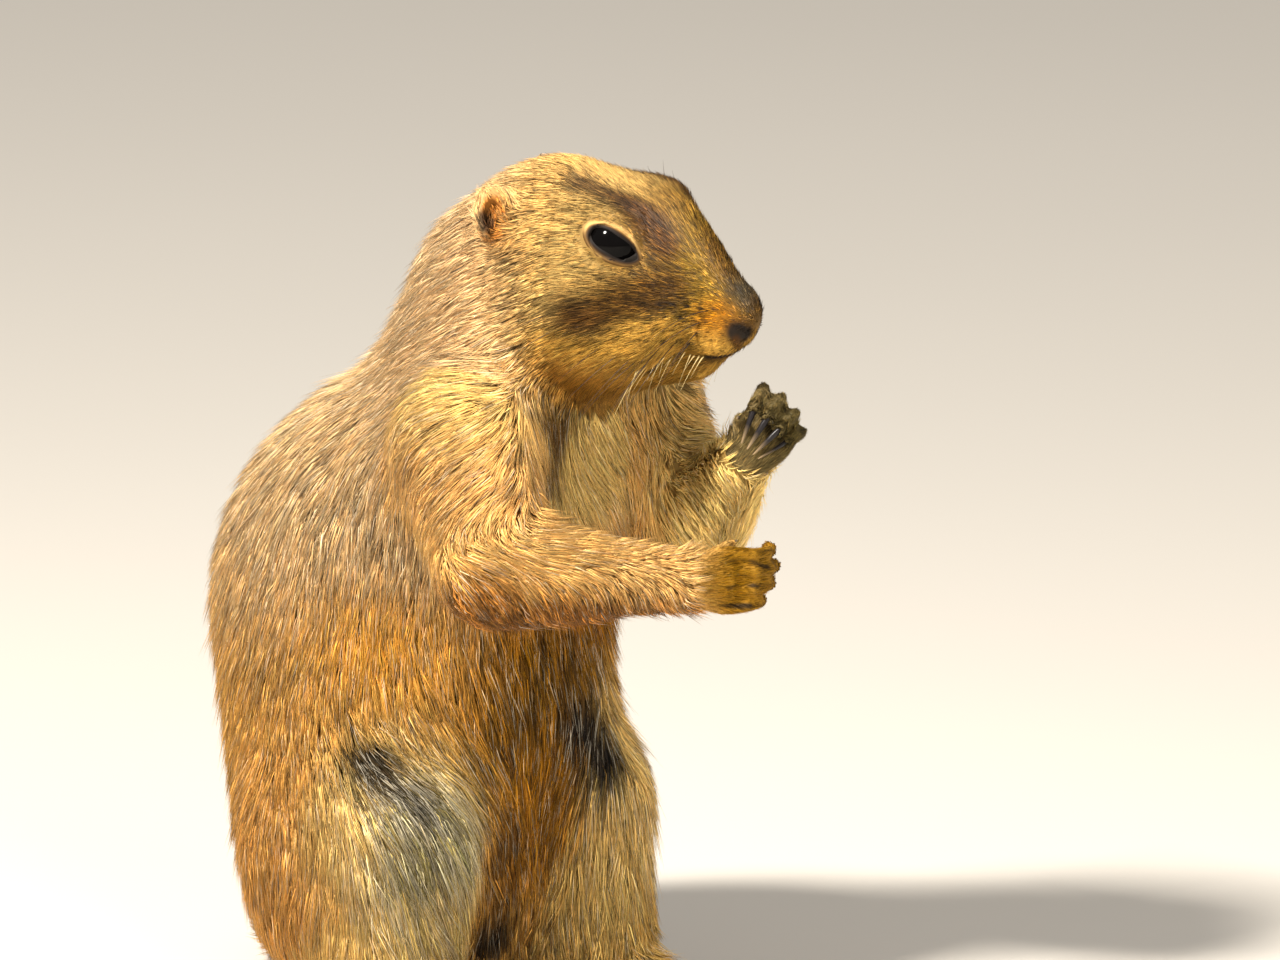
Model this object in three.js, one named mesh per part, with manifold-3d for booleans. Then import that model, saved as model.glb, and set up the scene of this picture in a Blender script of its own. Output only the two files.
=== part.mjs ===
// Black-tailed prairie dog, life size, sitting upright on its haunches with both hands raised.
//
// Millimetres, +Z up. The animal faces -Y and its left is +X. The origin is the middle of the
// seat, the small flat of the rump that rests on the floor. The surface is the outline of the
// coat. Trunk, limbs and tail are fields of rounded masses that melt into one another. Each
// sub-part is a skin wrapped on such a field round its own axis, and it keeps a thin gap to
// the sub-part that it grows from.

import * as THREE from 'three';
import { mergeVertices } from 'three/addons/utils/BufferGeometryUtils.js';
import Module from 'manifold-3d';

const wasm = await Module();
wasm.setup();

// Cuts and rays
const GAP = 0.3;
const SPARE = 12;
const WORLD = 700;
const RAY_STEP = 0.25;
const RAY_STRIDE = 4;
const RAY_END = 90;
const RAY_HALVINGS = 24;

// Head. Its frame stands at the height of the eyes' plane, turned to the animal's left.
// In that frame +X is the animal's left, -Y its front and +Z up.
const HEAD_PLACE = [3, -67.4, 165];
const HEAD_TURN = 20;
const CRANIUM = { at: [0, 15, 2], size: [20.5, 23, 15.5] };
const FOREHEAD = { at: [0, 3.5, 6], size: [15, 14, 11.5] };
const FACE = { at: [0, 4, -5], size: [20.5, 22, 19] };
const NOSE = { at: [0, -21.7, -9.2], size: [4.3, 4, 3.9] };
const CHIN = { at: [0, -9, -20], size: [6.5, 9, 5.5] };
const THROAT = { at: [0, 8, -17], size: [15, 18, 13] };
const CHEEK = { at: [13, 6, -11], size: [11, 17, 14] };
const LIP = { at: [4.6, -17, -13.5], size: [5, 6.5, 5] };
const BROW = { at: [11.5, 1, 12.2], size: [5.5, 9, 4.5] };
const NOSTRIL = { at: [3.4, -23.4, -13], size: [1.1, 2.4, 1.3] };
const MUZZLE_ROUTE = [[0, -2, 1], [0, -18, -9.8]];
const MUZZLE_RADIUS = [14.2, 8.1];
const MOUTH_HALF = [
  [0, -22, -17.2], [4.6, -20, -18.2], [7.4, -16, -18.8], [9.6, -11, -19.6], [10.8, -6.5, -20.6],
];
const MOUTH_RADIUS = 0.6;
const EYE_PLACE = [13.3, 1.2, 6.4];
const EYE_RADIUS = 5.9;
const EYE_FACING = [0.93, -0.34, 0.15];
const EYE_OPENING = [5.3, 3.6];
const EYE_TILT = 20;
const LID_THICKNESS = 0.8;
const EAR_PLACE = [17.6, 26.2, 11];
const EAR_SIZE = [4.4, 3.5, 6.2];
const EAR_CUP = [3.4, 2.3, 4.6];

// Trunk
const RUMP = { at: [0, -4.5, 50], size: [37.5, 37.2, 56] };
const RIBS = { at: [0, -5.5, 84], size: [38, 44, 46] };
const CHEST = { at: [0, -15, 104], size: [36, 38, 34] };
const BREAST = { at: [0, -31, 120], size: [27, 24, 26] };
const BELLY = { at: [0, -34, 70], size: [30, 18, 34] };
const NECK_ROUTE = [[0, -24, 126], [-2, -41, 154], [-3.5, -50, 165.6]];
const NECK_RADIUS = [24.5, 23.4, 20.7];

// Arms: the right one is held level across the chest, the left one is raised to the chin
const SHOULDER = [27, -45, 127];
const SHOULDER_RADIUS = 17;
const ELBOW_RADIUS = 11.6;
const WRIST_RADIUS = 6.6;
const RIGHT_ARM = {
  elbow: [-37, -60, 104.2], wrist: [-8, -90, 102], knuckles: [-1, -105, 102.4],
  thumbward: [0, 0, 1], palm: 7.6, fingers: [0.78, 0.96, 1.04, 0.98],
  pitch: 3.9, spread: -3, curl: [14, 56, 100],
};
const LEFT_ARM = {
  elbow: [35, -54, 100], wrist: [15.4, -85.9, 123.9], knuckles: [20.1, -93.3, 134.9],
  thumbward: [-0.39, 0.67, 0.63], palm: 9.4, fingers: [0.62, 0.92, 1.04, 0.98],
  pitch: 2.7, spread: 13, curl: [20, 104, 162],
};

// Hands
const PALM_WIDTH = 7.1;
const PALM_DEPTH = 4.6;
const FINGER_RADIUS = 1.9;
const FINGER_BONES = [7.4, 4.2, 3.0];
const THUMB_BONES = [4.6, 4.0, 3.0];
const THUMB_CURL = [30, 50, 70];
const HAND_CLAW = 8.5;
const THUMB_CLAW = 4.5;

// Legs: the knees point forward and up, and the whole sole is on the floor
const HAUNCH = { at: [26, -11, 36], size: [20, 24.5, 33] };
const KNEE = { right: [-30, -30, 42], left: [18.5, -37.5, 45.5] };
const KNEE_RADIUS = 15.5;
const ANKLE = { right: [-29.5, -28, 14], left: [23, -36.5, 14] };
const ANKLE_RADIUS = 14.5;
const HEEL = { right: [-29, -13, 4.6], left: [25, -19, 4.6] };
const BALL = { right: [-31, -49, 4.2], left: [27, -55, 4.2] };
const SOLE_WIDTH = [6.2, 8.6];
const SOLE_DEPTH = [5.2, 4.6];
const TOE_RADIUS = 2.2;
const TOE_BONES = [4.2, 3.8, 2.8];
const TOE_SCALE = [0.82, 1.02, 1.1, 1, 0.8];
const TOE_SETBACK = [5, 1, 0, 1.2, 5.5];
const TOE_PITCH = 3.7;
const TOE_CURL = [-14, 6, 20];
const FOOT_CLAW = 6.5;

// Claws
const CLAW_RADIUS = 1.1;
const CLAW_TIP = 0.22;
const CLAW_BEND = [-6, 8, 24];

// Tail, laid on the floor round the left haunch
const TAIL_ROUTE = [[2, 22, 10], [10, 35, 9], [22, 43, 8], [38, 45, 7.6], [56, 38, 7.2], [70, 25, 6.4]];
const TAIL_RADIUS = [9, 8.4, 7.8, 7.6, 7.4, 3.4];
const TAIL_SPLIT = 38;

const COLOURS = {
  gold: '#b98444', sand: '#a97a4e', cream: '#c3a064', rufous: '#a8672f', dark: '#2a2320',
  tan: '#b58a4c', claw: '#1f1b19', eye: '#0b0908', ear: '#94602f',
};

const SIDES = [{ name: 'left', sign: 1 }, { name: 'right', sign: -1 }];
const vector = (list) => new THREE.Vector3(...list);
const mirrored = ([x, y, z], side) => [side * x, y, z];
const radians = THREE.MathUtils.degToRad;
const bothSides = (make) => SIDES.flatMap(({ sign }) => make(sign));

const headFrame = new THREE.Matrix4().makeRotationZ(radians(HEAD_TURN)).setPosition(...HEAD_PLACE);
const atHead = (list) => vector(list).applyMatrix4(headFrame).toArray();
const alongHead = (list) => vector(list).transformDirection(headFrame);

// Distance to a rounded mass, negative inside: an ellipsoid in its own frame
function ellipsoid(centre, radii, frame = new THREE.Matrix4()) {
  const inverse = frame.clone().multiply(new THREE.Matrix4().makeTranslation(...centre)).invert();
  const local = new THREE.Vector3();
  const [a, b, c] = radii;
  return (p) => {
    local.copy(p).applyMatrix4(inverse);
    const near = Math.hypot(local.x / a, local.y / b, local.z / c);
    const slope = Math.hypot(local.x / (a * a), local.y / (b * b), local.z / (c * c));
    return slope === 0 ? -Math.min(a, b, c) : near * (near - 1) / slope;
  };
}

// Distance to a round limb that tapers from one end to the other
function taper(start, end, startRadius, endRadius) {
  const a = vector(start);
  const run = vector(end).sub(a);
  const offset = new THREE.Vector3();
  return (p) => {
    offset.subVectors(p, a);
    const t = THREE.MathUtils.clamp(offset.dot(run) / run.lengthSq(), 0, 1);
    offset.addScaledVector(run, -t);
    return offset.length() - THREE.MathUtils.lerp(startRadius, endRadius, t);
  };
}

// Masses that melt into one another over the given width
function melt(masses, width) {
  return (p) => masses.reduce((least, mass) => {
    const next = mass(p);
    const overlap = Math.max(width - Math.abs(least - next), 0) / width;
    return Math.min(least, next) - overlap * overlap * width / 4;
  }, RAY_END);
}

// Masses in a row along a route, each one tapering to the next
const chain = (route, radii) => route.slice(1).map((point, i) => (
  taper(route[i], point, radii[i], radii[i + 1])
));

const inRow = ({ at, size }, s = 1) => ellipsoid(mirrored(at, s), size);
const inHead = ({ at, size }, s = 1) => ellipsoid(mirrored(at, s), size, headFrame);

const headFlesh = melt([
  ...[CRANIUM, FOREHEAD, FACE, NOSE, CHIN, THROAT].map((mass) => inHead(mass)),
  ...bothSides((s) => [inHead(CHEEK, s), inHead(LIP, s), inHead(BROW, s)]),
  ...chain(MUZZLE_ROUTE.map(atHead), MUZZLE_RADIUS),
], 4);
const neckFlesh = melt(chain(NECK_ROUTE, NECK_RADIUS), 6);
const torsoFlesh = melt([RUMP, RIBS, CHEST, BREAST, BELLY].map((mass) => inRow(mass)), 8);
const trunk = melt([torsoFlesh, neckFlesh, headFlesh], 6);

const upperArmFlesh = (arm, s) => taper(mirrored(SHOULDER, s), arm.elbow, SHOULDER_RADIUS, ELBOW_RADIUS);
const forearmFlesh = (arm) => melt([
  taper(arm.elbow, vector(arm.elbow).lerp(vector(arm.wrist), 0.45).toArray(), ELBOW_RADIUS, 9.8),
  taper(arm.elbow, arm.wrist, ELBOW_RADIUS - 1.5, WRIST_RADIUS),
], 3);

const LEG_RADIUS = [HAUNCH.size[0], KNEE_RADIUS, ANKLE_RADIUS];
const legFlesh = (name, s) => melt([
  inRow(HAUNCH, s),
  ...chain([mirrored(HAUNCH.at, s), KNEE[name], ANKLE[name]], LEG_RADIUS),
], 6);

const tailFlesh = melt(chain(TAIL_ROUTE, TAIL_RADIUS), 3);

// A three.js geometry as a solid that can be cut and joined
function solid(geometry) {
  const bare = geometry.clone();
  ['normal', 'uv'].forEach((name) => bare.deleteAttribute(name));
  const merged = mergeVertices(bare, 1e-4);
  return new wasm.Manifold(new wasm.Mesh({
    numProp: 3,
    vertProperties: new Float32Array(merged.attributes.position.array),
    triVerts: new Uint32Array(merged.index.array),
  }));
}

// The largest closed surface of a solid, back as a geometry
function geometryOf(shape) {
  const pieces = shape.decompose();
  const whole = pieces.reduce((best, piece) => (piece.volume() > best.volume() ? piece : best));
  const { vertProperties, triVerts } = whole.getMesh();
  const geometry = new THREE.BufferGeometry();
  geometry.setAttribute('position', new THREE.BufferAttribute(new Float32Array(vertProperties), 3));
  geometry.setIndex(new THREE.BufferAttribute(new Uint32Array(triVerts), 1));
  geometry.computeVertexNormals();
  return geometry;
}

// A part of space between planes, each given by a point on it and the way in
function region(...planes) {
  const faces = planes.map(([point, way]) => ({ point: vector(point), way: vector(way).normalize() }));
  const offset = new THREE.Vector3();
  const depth = (p) => Math.min(...faces.map(({ point, way }) => offset.subVectors(p, point).dot(way)));
  const block = (grow) => faces.map(({ point, way }) => {
    const turn = new THREE.Quaternion().setFromUnitVectors(new THREE.Vector3(0, 0, 1), way);
    const middle = point.clone().addScaledVector(way, WORLD / 2 - grow);
    const place = new THREE.Matrix4().compose(middle, turn, new THREE.Vector3(1, 1, 1));
    return solid(new THREE.BoxGeometry(WORLD, WORLD, WORLD).applyMatrix4(place));
  }).reduce((whole, half) => whole.intersect(half));
  return { depth, block };
}
const flipped = ([point, way]) => [point, way.map((v) => -v)];
const setBack = ([point, way]) => [
  vector(point).addScaledVector(vector(way).normalize(), GAP / 2).toArray(), way,
];
const joined = (shapes) => shapes.reduce((whole, shape) => whole.add(shape));
const without = (shape, others) => others.reduce((rest, other) => rest.subtract(other), shape);

// A closed skin from rings of points with a pole at each end
function skinOf(firstPole, rings, lastPole) {
  const sides = rings[0].length;
  const points = [firstPole, ...rings.flat(), lastPole];
  const index = [];
  const at = (ring, side) => 1 + ring * sides + (side % sides);
  for (let side = 0; side < sides; side += 1) {
    index.push(0, at(0, side + 1), at(0, side));
    for (let ring = 0; ring < rings.length - 1; ring += 1) {
      index.push(at(ring, side), at(ring, side + 1), at(ring + 1, side + 1));
      index.push(at(ring, side), at(ring + 1, side + 1), at(ring + 1, side));
    }
    index.push(points.length - 1, at(rings.length - 1, side), at(rings.length - 1, side + 1));
  }
  return new THREE.BufferGeometry().setFromPoints(points).setIndex(index);
}

// The point where a ray from inside leaves the field
function surfacePoint(field, from, way) {
  const p = new THREE.Vector3();
  const depthAt = (reach) => field(p.copy(from).addScaledVector(way, reach));
  let far = 0;
  for (let depth = depthAt(0); depth < 0 && far < RAY_END; depth = depthAt(far)) {
    far += THREE.MathUtils.clamp(-depth * 0.7, RAY_STEP, RAY_STRIDE);
  }
  let near = Math.max(far - RAY_STRIDE, 0);
  for (let i = 0; i < RAY_HALVINGS; i += 1) {
    const middle = (near + far) / 2;
    if (depthAt(middle) < 0) near = middle;
    else far = middle;
  }
  return from.clone().addScaledVector(way, far);
}

// Two ways square to a line, the first one as near as can be to the given way
function squareTo(along, up) {
  const first = vector(up).addScaledVector(along, -vector(up).dot(along)).normalize();
  return [first, along.clone().cross(first)];
}

// A skin wrapped on a field: rays leave an axis, fanned out at both of its ends
function wrap(field, route, { rings, caps, sides, up = [0, 0, 1] }) {
  const axis = new THREE.CatmullRomCurve3(route.map(vector));
  const stations = [];
  for (let i = 1; i < caps; i += 1) stations.push([0, -90 + 90 * i / caps]);
  for (let i = 0; i <= rings; i += 1) stations.push([i / rings, 0]);
  for (let i = 1; i < caps; i += 1) stations.push([1, 90 * i / caps]);
  const skinRings = stations.map(([t, tilt]) => {
    const centre = axis.getPointAt(t);
    const along = axis.getTangentAt(t);
    const [first, second] = squareTo(along, up);
    return Array.from({ length: sides }, (_, side) => {
      const angle = 2 * Math.PI * side / sides;
      const way = first.clone().multiplyScalar(Math.cos(angle)).addScaledVector(second, Math.sin(angle));
      way.multiplyScalar(Math.cos(radians(tilt))).addScaledVector(along, Math.sin(radians(tilt)));
      return surfacePoint(field, centre, way);
    });
  });
  const firstPole = surfacePoint(field, axis.getPointAt(0), axis.getTangentAt(0).negate());
  const lastPole = surfacePoint(field, axis.getPointAt(1), axis.getTangentAt(1));
  return solid(skinOf(firstPole, skinRings, lastPole));
}

// The stretch of a field that lies in a region, with its surface moved out by grow
function stretch(field, within, route, mesh, grow = 0) {
  const bounded = (p) => Math.max(field(p) - grow, -within.depth(p) - SPARE);
  return wrap(bounded, route, mesh).intersect(within.block(grow));
}

// A closed tube with round ends; wide is the half width along the up way, deep across it
function tube(route, wide, deep, { rings, sides, up }) {
  const axis = new THREE.CatmullRomCurve3(route.map(vector));
  const widths = new THREE.CatmullRomCurve3(wide.map((w, i) => new THREE.Vector3(w, deep[i], 0)));
  const stations = [[0, -45]];
  for (let i = 0; i <= rings; i += 1) stations.push([i / rings, 0]);
  stations.push([1, 45]);
  const end = (t, sign) => {
    const size = widths.getPoint(t);
    return axis.getPoint(t).addScaledVector(axis.getTangent(t), sign * Math.min(size.x, size.y));
  };
  const skinRings = stations.map(([t, tilt]) => {
    const along = axis.getTangent(t);
    const [first, second] = squareTo(along, up);
    const size = widths.getPoint(t);
    const shrink = Math.cos(radians(tilt));
    const bulge = Math.sin(radians(tilt)) * Math.min(size.x, size.y);
    const centre = axis.getPoint(t).addScaledVector(along, bulge);
    return Array.from({ length: sides }, (_, side) => {
      const angle = 2 * Math.PI * side / sides;
      return centre.clone()
        .addScaledVector(first, Math.cos(angle) * size.x * shrink)
        .addScaledVector(second, Math.sin(angle) * size.y * shrink);
    });
  });
  return solid(skinOf(end(0, -1), skinRings, end(1, 1)));
}

// A ball stretched to the given half sizes, placed in a frame
function ball(centre, radii, frame, [around, down]) {
  const geometry = new THREE.SphereGeometry(1, around, down).scale(...radii).translate(...centre);
  return solid(geometry.applyMatrix4(frame));
}

// Regions of the trunk and cuts of the limbs
const aboveFloor = [[0, 0, 0], [0, 0, 1]];
const napeCut = [atHead([0, 36, 14]), alongHead([0, -0.88, 0.48]).toArray()];
const chestCut = [[0, 0, 138], [0, -0.359, 0.933]];
const headRegion = region(setBack(napeCut), [[0, 0, 131], [0, 0, 1]]);
const neckRegion = region(setBack(flipped(napeCut)), setBack(chestCut));
const torsoRegion = region(setBack(flipped(chestCut)), aboveFloor);

const torso = (grow) => stretch(
  trunk, torsoRegion, [[0, -4, 16], [0, -8, 60], [0, -12, 96], [0, -20, 120]],
  { rings: 16, caps: 6, sides: 32, up: [0, 1, 0] }, grow,
);
const neck = (grow) => stretch(
  trunk, neckRegion, [[0, -28, 132], [1, -38, 150], [2, -47, 166]],
  { rings: 6, caps: 5, sides: 28, up: [0, 1, 0] }, grow,
);
const skull = (grow) => stretch(
  trunk, headRegion, [[0, 14, 1], [0, 2, -3], [0, -13, -7]].map(atHead),
  { rings: 12, caps: 9, sides: 34 }, grow,
);

const nodes = [];
function addNode(name, shape, colour, roughness = 0.9) {
  const material = new THREE.MeshStandardMaterial({ color: colour, roughness, metalness: 0 });
  const mesh = new THREE.Mesh(geometryOf(shape), material);
  mesh.name = name;
  nodes.push(mesh);
}

// Digits: each bone turns further down, and the claw goes on in the same bend
function digit({ base, along, down, bones, curl, radius, scale, claw, up }) {
  const way = (angle) => along.clone().multiplyScalar(Math.cos(radians(angle)))
    .addScaledVector(down, Math.sin(radians(angle)));
  const joints = [base.clone()];
  bones.forEach((bone, i) => {
    joints.push(joints[i].clone().addScaledVector(way(curl[i]), bone * scale));
  });
  const tip = joints[joints.length - 1];
  const root = tip.clone().addScaledVector(way(curl[2]), -radius * 0.4);
  const clawJoints = [root];
  CLAW_BEND.forEach((bend, i) => {
    clawJoints.push(clawJoints[i].clone().addScaledVector(way(curl[2] + bend), claw / CLAW_BEND.length));
  });
  const clawTube = (grow) => tube(
    clawJoints.map((p) => p.toArray()),
    [CLAW_RADIUS * 0.8, CLAW_RADIUS * 0.72, CLAW_RADIUS * 0.5, CLAW_TIP].map((r) => r * scale + grow),
    [CLAW_RADIUS, CLAW_RADIUS * 0.9, CLAW_RADIUS * 0.6, CLAW_TIP].map((r) => r * scale + grow),
    { rings: 2, sides: 6, up },
  );
  const thick = [1, 1.02, 0.98, 0.86].map((r) => r * radius);
  return {
    flesh: tube(joints.map((p) => p.toArray()), thick, thick, { rings: 3, sides: 6, up }),
    claw: clawTube(0),
    socket: clawTube(GAP),
  };
}

// The line of the mouth, on the surface of the face, from corner to corner
function mouthLine() {
  const inner = vector(atHead([0, -6, -15]));
  const route = [...MOUTH_HALF.slice(1).reverse().map((p) => mirrored(p, -1)), ...MOUTH_HALF];
  return route.map((p) => surfacePoint(trunk, inner, vector(atHead(p)).sub(inner).normalize()).toArray());
}

// One eye: the ball, its socket, the lids round it and the almond opening between them
function eyeParts(s) {
  const facing = alongHead(mirrored(EYE_FACING, s));
  const centre = vector(atHead(mirrored(EYE_PLACE, s)));
  const frontward = alongHead([0, -Math.cos(radians(EYE_TILT)), -Math.sin(radians(EYE_TILT))]);
  const [first, second] = squareTo(facing, frontward.toArray());
  const frame = new THREE.Matrix4().makeBasis(first, second, facing).setPosition(centre);
  const [width, height] = EYE_OPENING;
  const opening = new THREE.Shape();
  opening.moveTo(width, 0);
  opening.bezierCurveTo(width * 0.5, height * 1.2, -width * 0.95, height * 1.35, -width, 0);
  opening.bezierCurveTo(-width * 0.95, -height * 1.2, width * 0.5, -height * 1.3, width, 0);
  const prism = new THREE.ExtrudeGeometry(opening, { depth: 12, bevelEnabled: false, curveSegments: 7 });
  const sphere = (radius) => ball([0, 0, 0], [radius, radius, radius], frame, [14, 9]);
  return {
    ball: sphere(EYE_RADIUS),
    socket: sphere(EYE_RADIUS + GAP),
    lids: sphere(EYE_RADIUS + GAP + LID_THICKNESS),
    opening: solid(prism.translate(0, 0, 1.5).applyMatrix4(frame)),
  };
}

// One ear: a short deep cup that opens outward and a little forward
function ear(s, headSolid) {
  const outward = alongHead(mirrored([0.9, -0.4, 0.1], s));
  const [upward, forward] = squareTo(outward, alongHead([0, 0.2, 1]).toArray());
  const frame = new THREE.Matrix4().makeBasis(outward, forward.negate(), upward)
    .setPosition(...atHead(mirrored(EAR_PLACE, s)));
  const cup = ball([0, 0, 0], EAR_SIZE, frame, [14, 10]);
  const hollow = ball([EAR_SIZE[0] * 0.8, 0, -0.4], EAR_CUP, frame, [12, 8]);
  return cup.subtract(hollow).subtract(headSolid);
}

const eyes = SIDES.map(({ sign }) => eyeParts(sign));
const mouthRoute = mouthLine();
const mouthDepth = mouthRoute.map(() => MOUTH_RADIUS);
const nostrils = bothSides((s) => [ball(mirrored(NOSTRIL.at, s), NOSTRIL.size, headFrame, [8, 6])]);
const face = joined([skull(0), ...eyes.map((eye) => eye.lids)]);
addNode('head', without(face, [
  ...eyes.flatMap((eye) => [eye.opening, eye.socket]),
  ...nostrils,
  tube(mouthRoute, mouthDepth, mouthDepth, { rings: 16, sides: 5, up: [0, 0, 1] }),
]), COLOURS.sand);
addNode('neck', neck(0), COLOURS.sand);
addNode('torso', torso(0), COLOURS.gold);
SIDES.forEach(({ name, sign }, i) => {
  addNode(`eye_${name}`, eyes[i].ball, COLOURS.eye, 0.1);
  addNode(`ear_${name}`, ear(sign, skull(GAP).add(neck(GAP))), COLOURS.ear);
});

// Hands: the palm, four fingers and a short thumb on the side that thumbward names
function hand(arm, s) {
  const wrist = vector(arm.wrist);
  const along = vector(arm.knuckles).sub(wrist).normalize();
  const [thumbward, crossing] = squareTo(along, arm.thumbward);
  const palmward = crossing.multiplyScalar(s);
  const up = thumbward.toArray();
  const place = (a, t, p) => wrist.clone().addScaledVector(along, a)
    .addScaledVector(thumbward, t).addScaledVector(palmward, p);
  const palm = tube(
    [place(-3, 0, 0), place(2, 0, 0), place(arm.palm * 0.6, 0, 0.3), place(arm.palm, 0, 0.6)]
      .map((p) => p.toArray()),
    [WRIST_RADIUS, WRIST_RADIUS * 0.98, PALM_WIDTH, PALM_WIDTH * 0.92],
    [WRIST_RADIUS, WRIST_RADIUS * 0.9, PALM_DEPTH, PALM_DEPTH * 0.72],
    { rings: 5, sides: 10, up },
  );
  const fingers = arm.fingers.map((scale, i) => {
    const rank = i - (arm.fingers.length - 1) / 2;
    const lean = radians(rank * arm.spread);
    return digit({
      base: place(arm.palm - 1.5, rank * arm.pitch, 0.2),
      along: along.clone().multiplyScalar(Math.cos(lean)).addScaledVector(thumbward, Math.sin(lean)),
      down: palmward, bones: FINGER_BONES, curl: arm.curl, radius: FINGER_RADIUS,
      scale, claw: HAND_CLAW, up,
    });
  });
  const thumb = digit({
    base: place(3.2, PALM_WIDTH * 0.62, 2.4),
    along: along.clone().addScaledVector(thumbward, 0.5).normalize(),
    down: palmward, bones: THUMB_BONES, curl: THUMB_CURL, radius: FINGER_RADIUS * 0.95,
    scale: 0.55, claw: THUMB_CLAW, up,
  });
  const digits = [...fingers, thumb];
  const flesh = joined([palm, ...digits.map((d) => d.flesh)]);
  return { flesh: without(flesh, digits.map((d) => d.socket)), claws: digits.map((d) => d.claw) };
}

// Feet: a flat sole and five toes that spread a little
function foot(name, s) {
  const up = [0, 0, 1];
  const heel = HEEL[name];
  const front = BALL[name];
  const middle = vector(heel).lerp(vector(front), 0.5).toArray();
  const sole = (grow) => tube(
    [heel, middle, front],
    [SOLE_DEPTH[0], SOLE_DEPTH[0], SOLE_DEPTH[1]].map((r) => r + grow),
    [SOLE_WIDTH[0], (SOLE_WIDTH[0] + SOLE_WIDTH[1]) / 2, SOLE_WIDTH[1]].map((r) => r + grow),
    { rings: 5, sides: 10, up },
  );
  const toes = TOE_SCALE.map((scale, i) => {
    const spread = radians((i - 2) * 5);
    return digit({
      base: vector(front).add(vector([s * (i - 2) * TOE_PITCH, TOE_SETBACK[i] - 3, -0.6])),
      along: vector([s * Math.sin(spread), -Math.cos(spread), 0]), down: vector([0, 0, -1]),
      bones: TOE_BONES, curl: TOE_CURL, radius: TOE_RADIUS, scale, claw: FOOT_CLAW, up,
    });
  });
  const floor = region(aboveFloor).block(0);
  const flesh = joined([sole(0), ...toes.map((toe) => toe.flesh)]);
  return {
    flesh: without(flesh, toes.map((toe) => toe.socket)).intersect(floor),
    socket: sole(GAP),
    claws: toes.map((toe) => toe.claw.intersect(floor)),
  };
}

SIDES.forEach(({ name, sign }) => {
  const arm = sign > 0 ? LEFT_ARM : RIGHT_ARM;
  const shoulder = mirrored(SHOULDER, sign);
  const fore = vector(arm.wrist).sub(vector(arm.elbow)).normalize();
  const handward = vector(arm.knuckles).sub(vector(arm.wrist)).normalize();
  const wristCut = [arm.wrist, fore.clone().add(handward).toArray()];
  const limbMesh = { rings: 6, caps: 4, sides: 16 };
  const rooted = [torso(GAP), neck(GAP), skull(GAP)];
  const upperArm = wrap(upperArmFlesh(arm, sign), [shoulder, arm.elbow], limbMesh);
  const forearm = (grow) => stretch(
    forearmFlesh(arm), region(flipped(wristCut)), [arm.elbow, arm.wrist], limbMesh, grow,
  );
  addNode(`upper_arm_${name}`, without(upperArm, [...rooted, forearm(GAP)]), COLOURS.gold);
  addNode(`forearm_${name}`, without(forearm(0), rooted), COLOURS.gold);

  const { flesh: handFlesh, claws: handClaws } = hand(arm, sign);
  addNode(`hand_${name}`, handFlesh.subtract(region(flipped(wristCut)).block(GAP)), COLOURS.tan);
  handClaws.forEach((claw, i) => addNode(`claw_hand_${name}_${i + 1}`, claw, COLOURS.claw, 0.4));

  const { flesh: footFlesh, socket: footSocket, claws: footClaws } = foot(name, sign);
  addNode(`foot_${name}`, footFlesh, COLOURS.tan);
  footClaws.forEach((claw, i) => addNode(`claw_foot_${name}_${i + 1}`, claw, COLOURS.claw, 0.4));

  const kneeCut = [mirrored([30, -28, 33], sign), [0, -0.5, -0.866]];
  const shinRegion = region(kneeCut, [[0, 0, 2.5], [0, 0, 1]], [[0, -6, 0], [0, -1, 0]]);
  const middle = vector(ANKLE[name]).lerp(vector(KNEE[name]), 0.55).toArray();
  const shin = stretch(
    legFlesh(name, sign), shinRegion, [ANKLE[name], middle],
    { rings: 4, caps: 5, sides: 18, up: [0, 1, 0] },
  );
  addNode(`shin_${name}`, without(shin, [torso(GAP), footSocket]), COLOURS.cream);
  const thigh = stretch(
    legFlesh(name, sign), region(aboveFloor), [[sign * 27, 2, 34], [sign * 28, -12, 38], KNEE[name]],
    { rings: 6, caps: 6, sides: 20 },
  );
  addNode(`thigh_${name}`, without(thigh, [torso(GAP), shinRegion.block(GAP), footSocket]), COLOURS.cream);
});

// Tail, in two lengths
const tailMesh = { rings: 6, caps: 4, sides: 14 };
const tailCut = [[TAIL_SPLIT, 0, 0], [1, 0, 0]];
const tailRoot = stretch(
  tailFlesh, region(flipped(tailCut), aboveFloor), TAIL_ROUTE.slice(0, 4), tailMesh,
);
const tailTip = stretch(
  tailFlesh, region([[TAIL_SPLIT + GAP, 0, 0], [1, 0, 0]], aboveFloor), TAIL_ROUTE.slice(3), tailMesh,
);
addNode('tail_root', tailRoot.subtract(torso(GAP)), COLOURS.rufous);
addNode('tail_tip', tailTip, COLOURS.dark);

const model = new THREE.Group();
model.name = 'prairie_dog';
model.add(...nodes);

export default model;
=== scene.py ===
import math

import bpy
import numpy as np
from mathutils import Matrix, Vector
from mathutils.bvhtree import BVHTree
from mathutils.kdtree import KDTree


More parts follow.
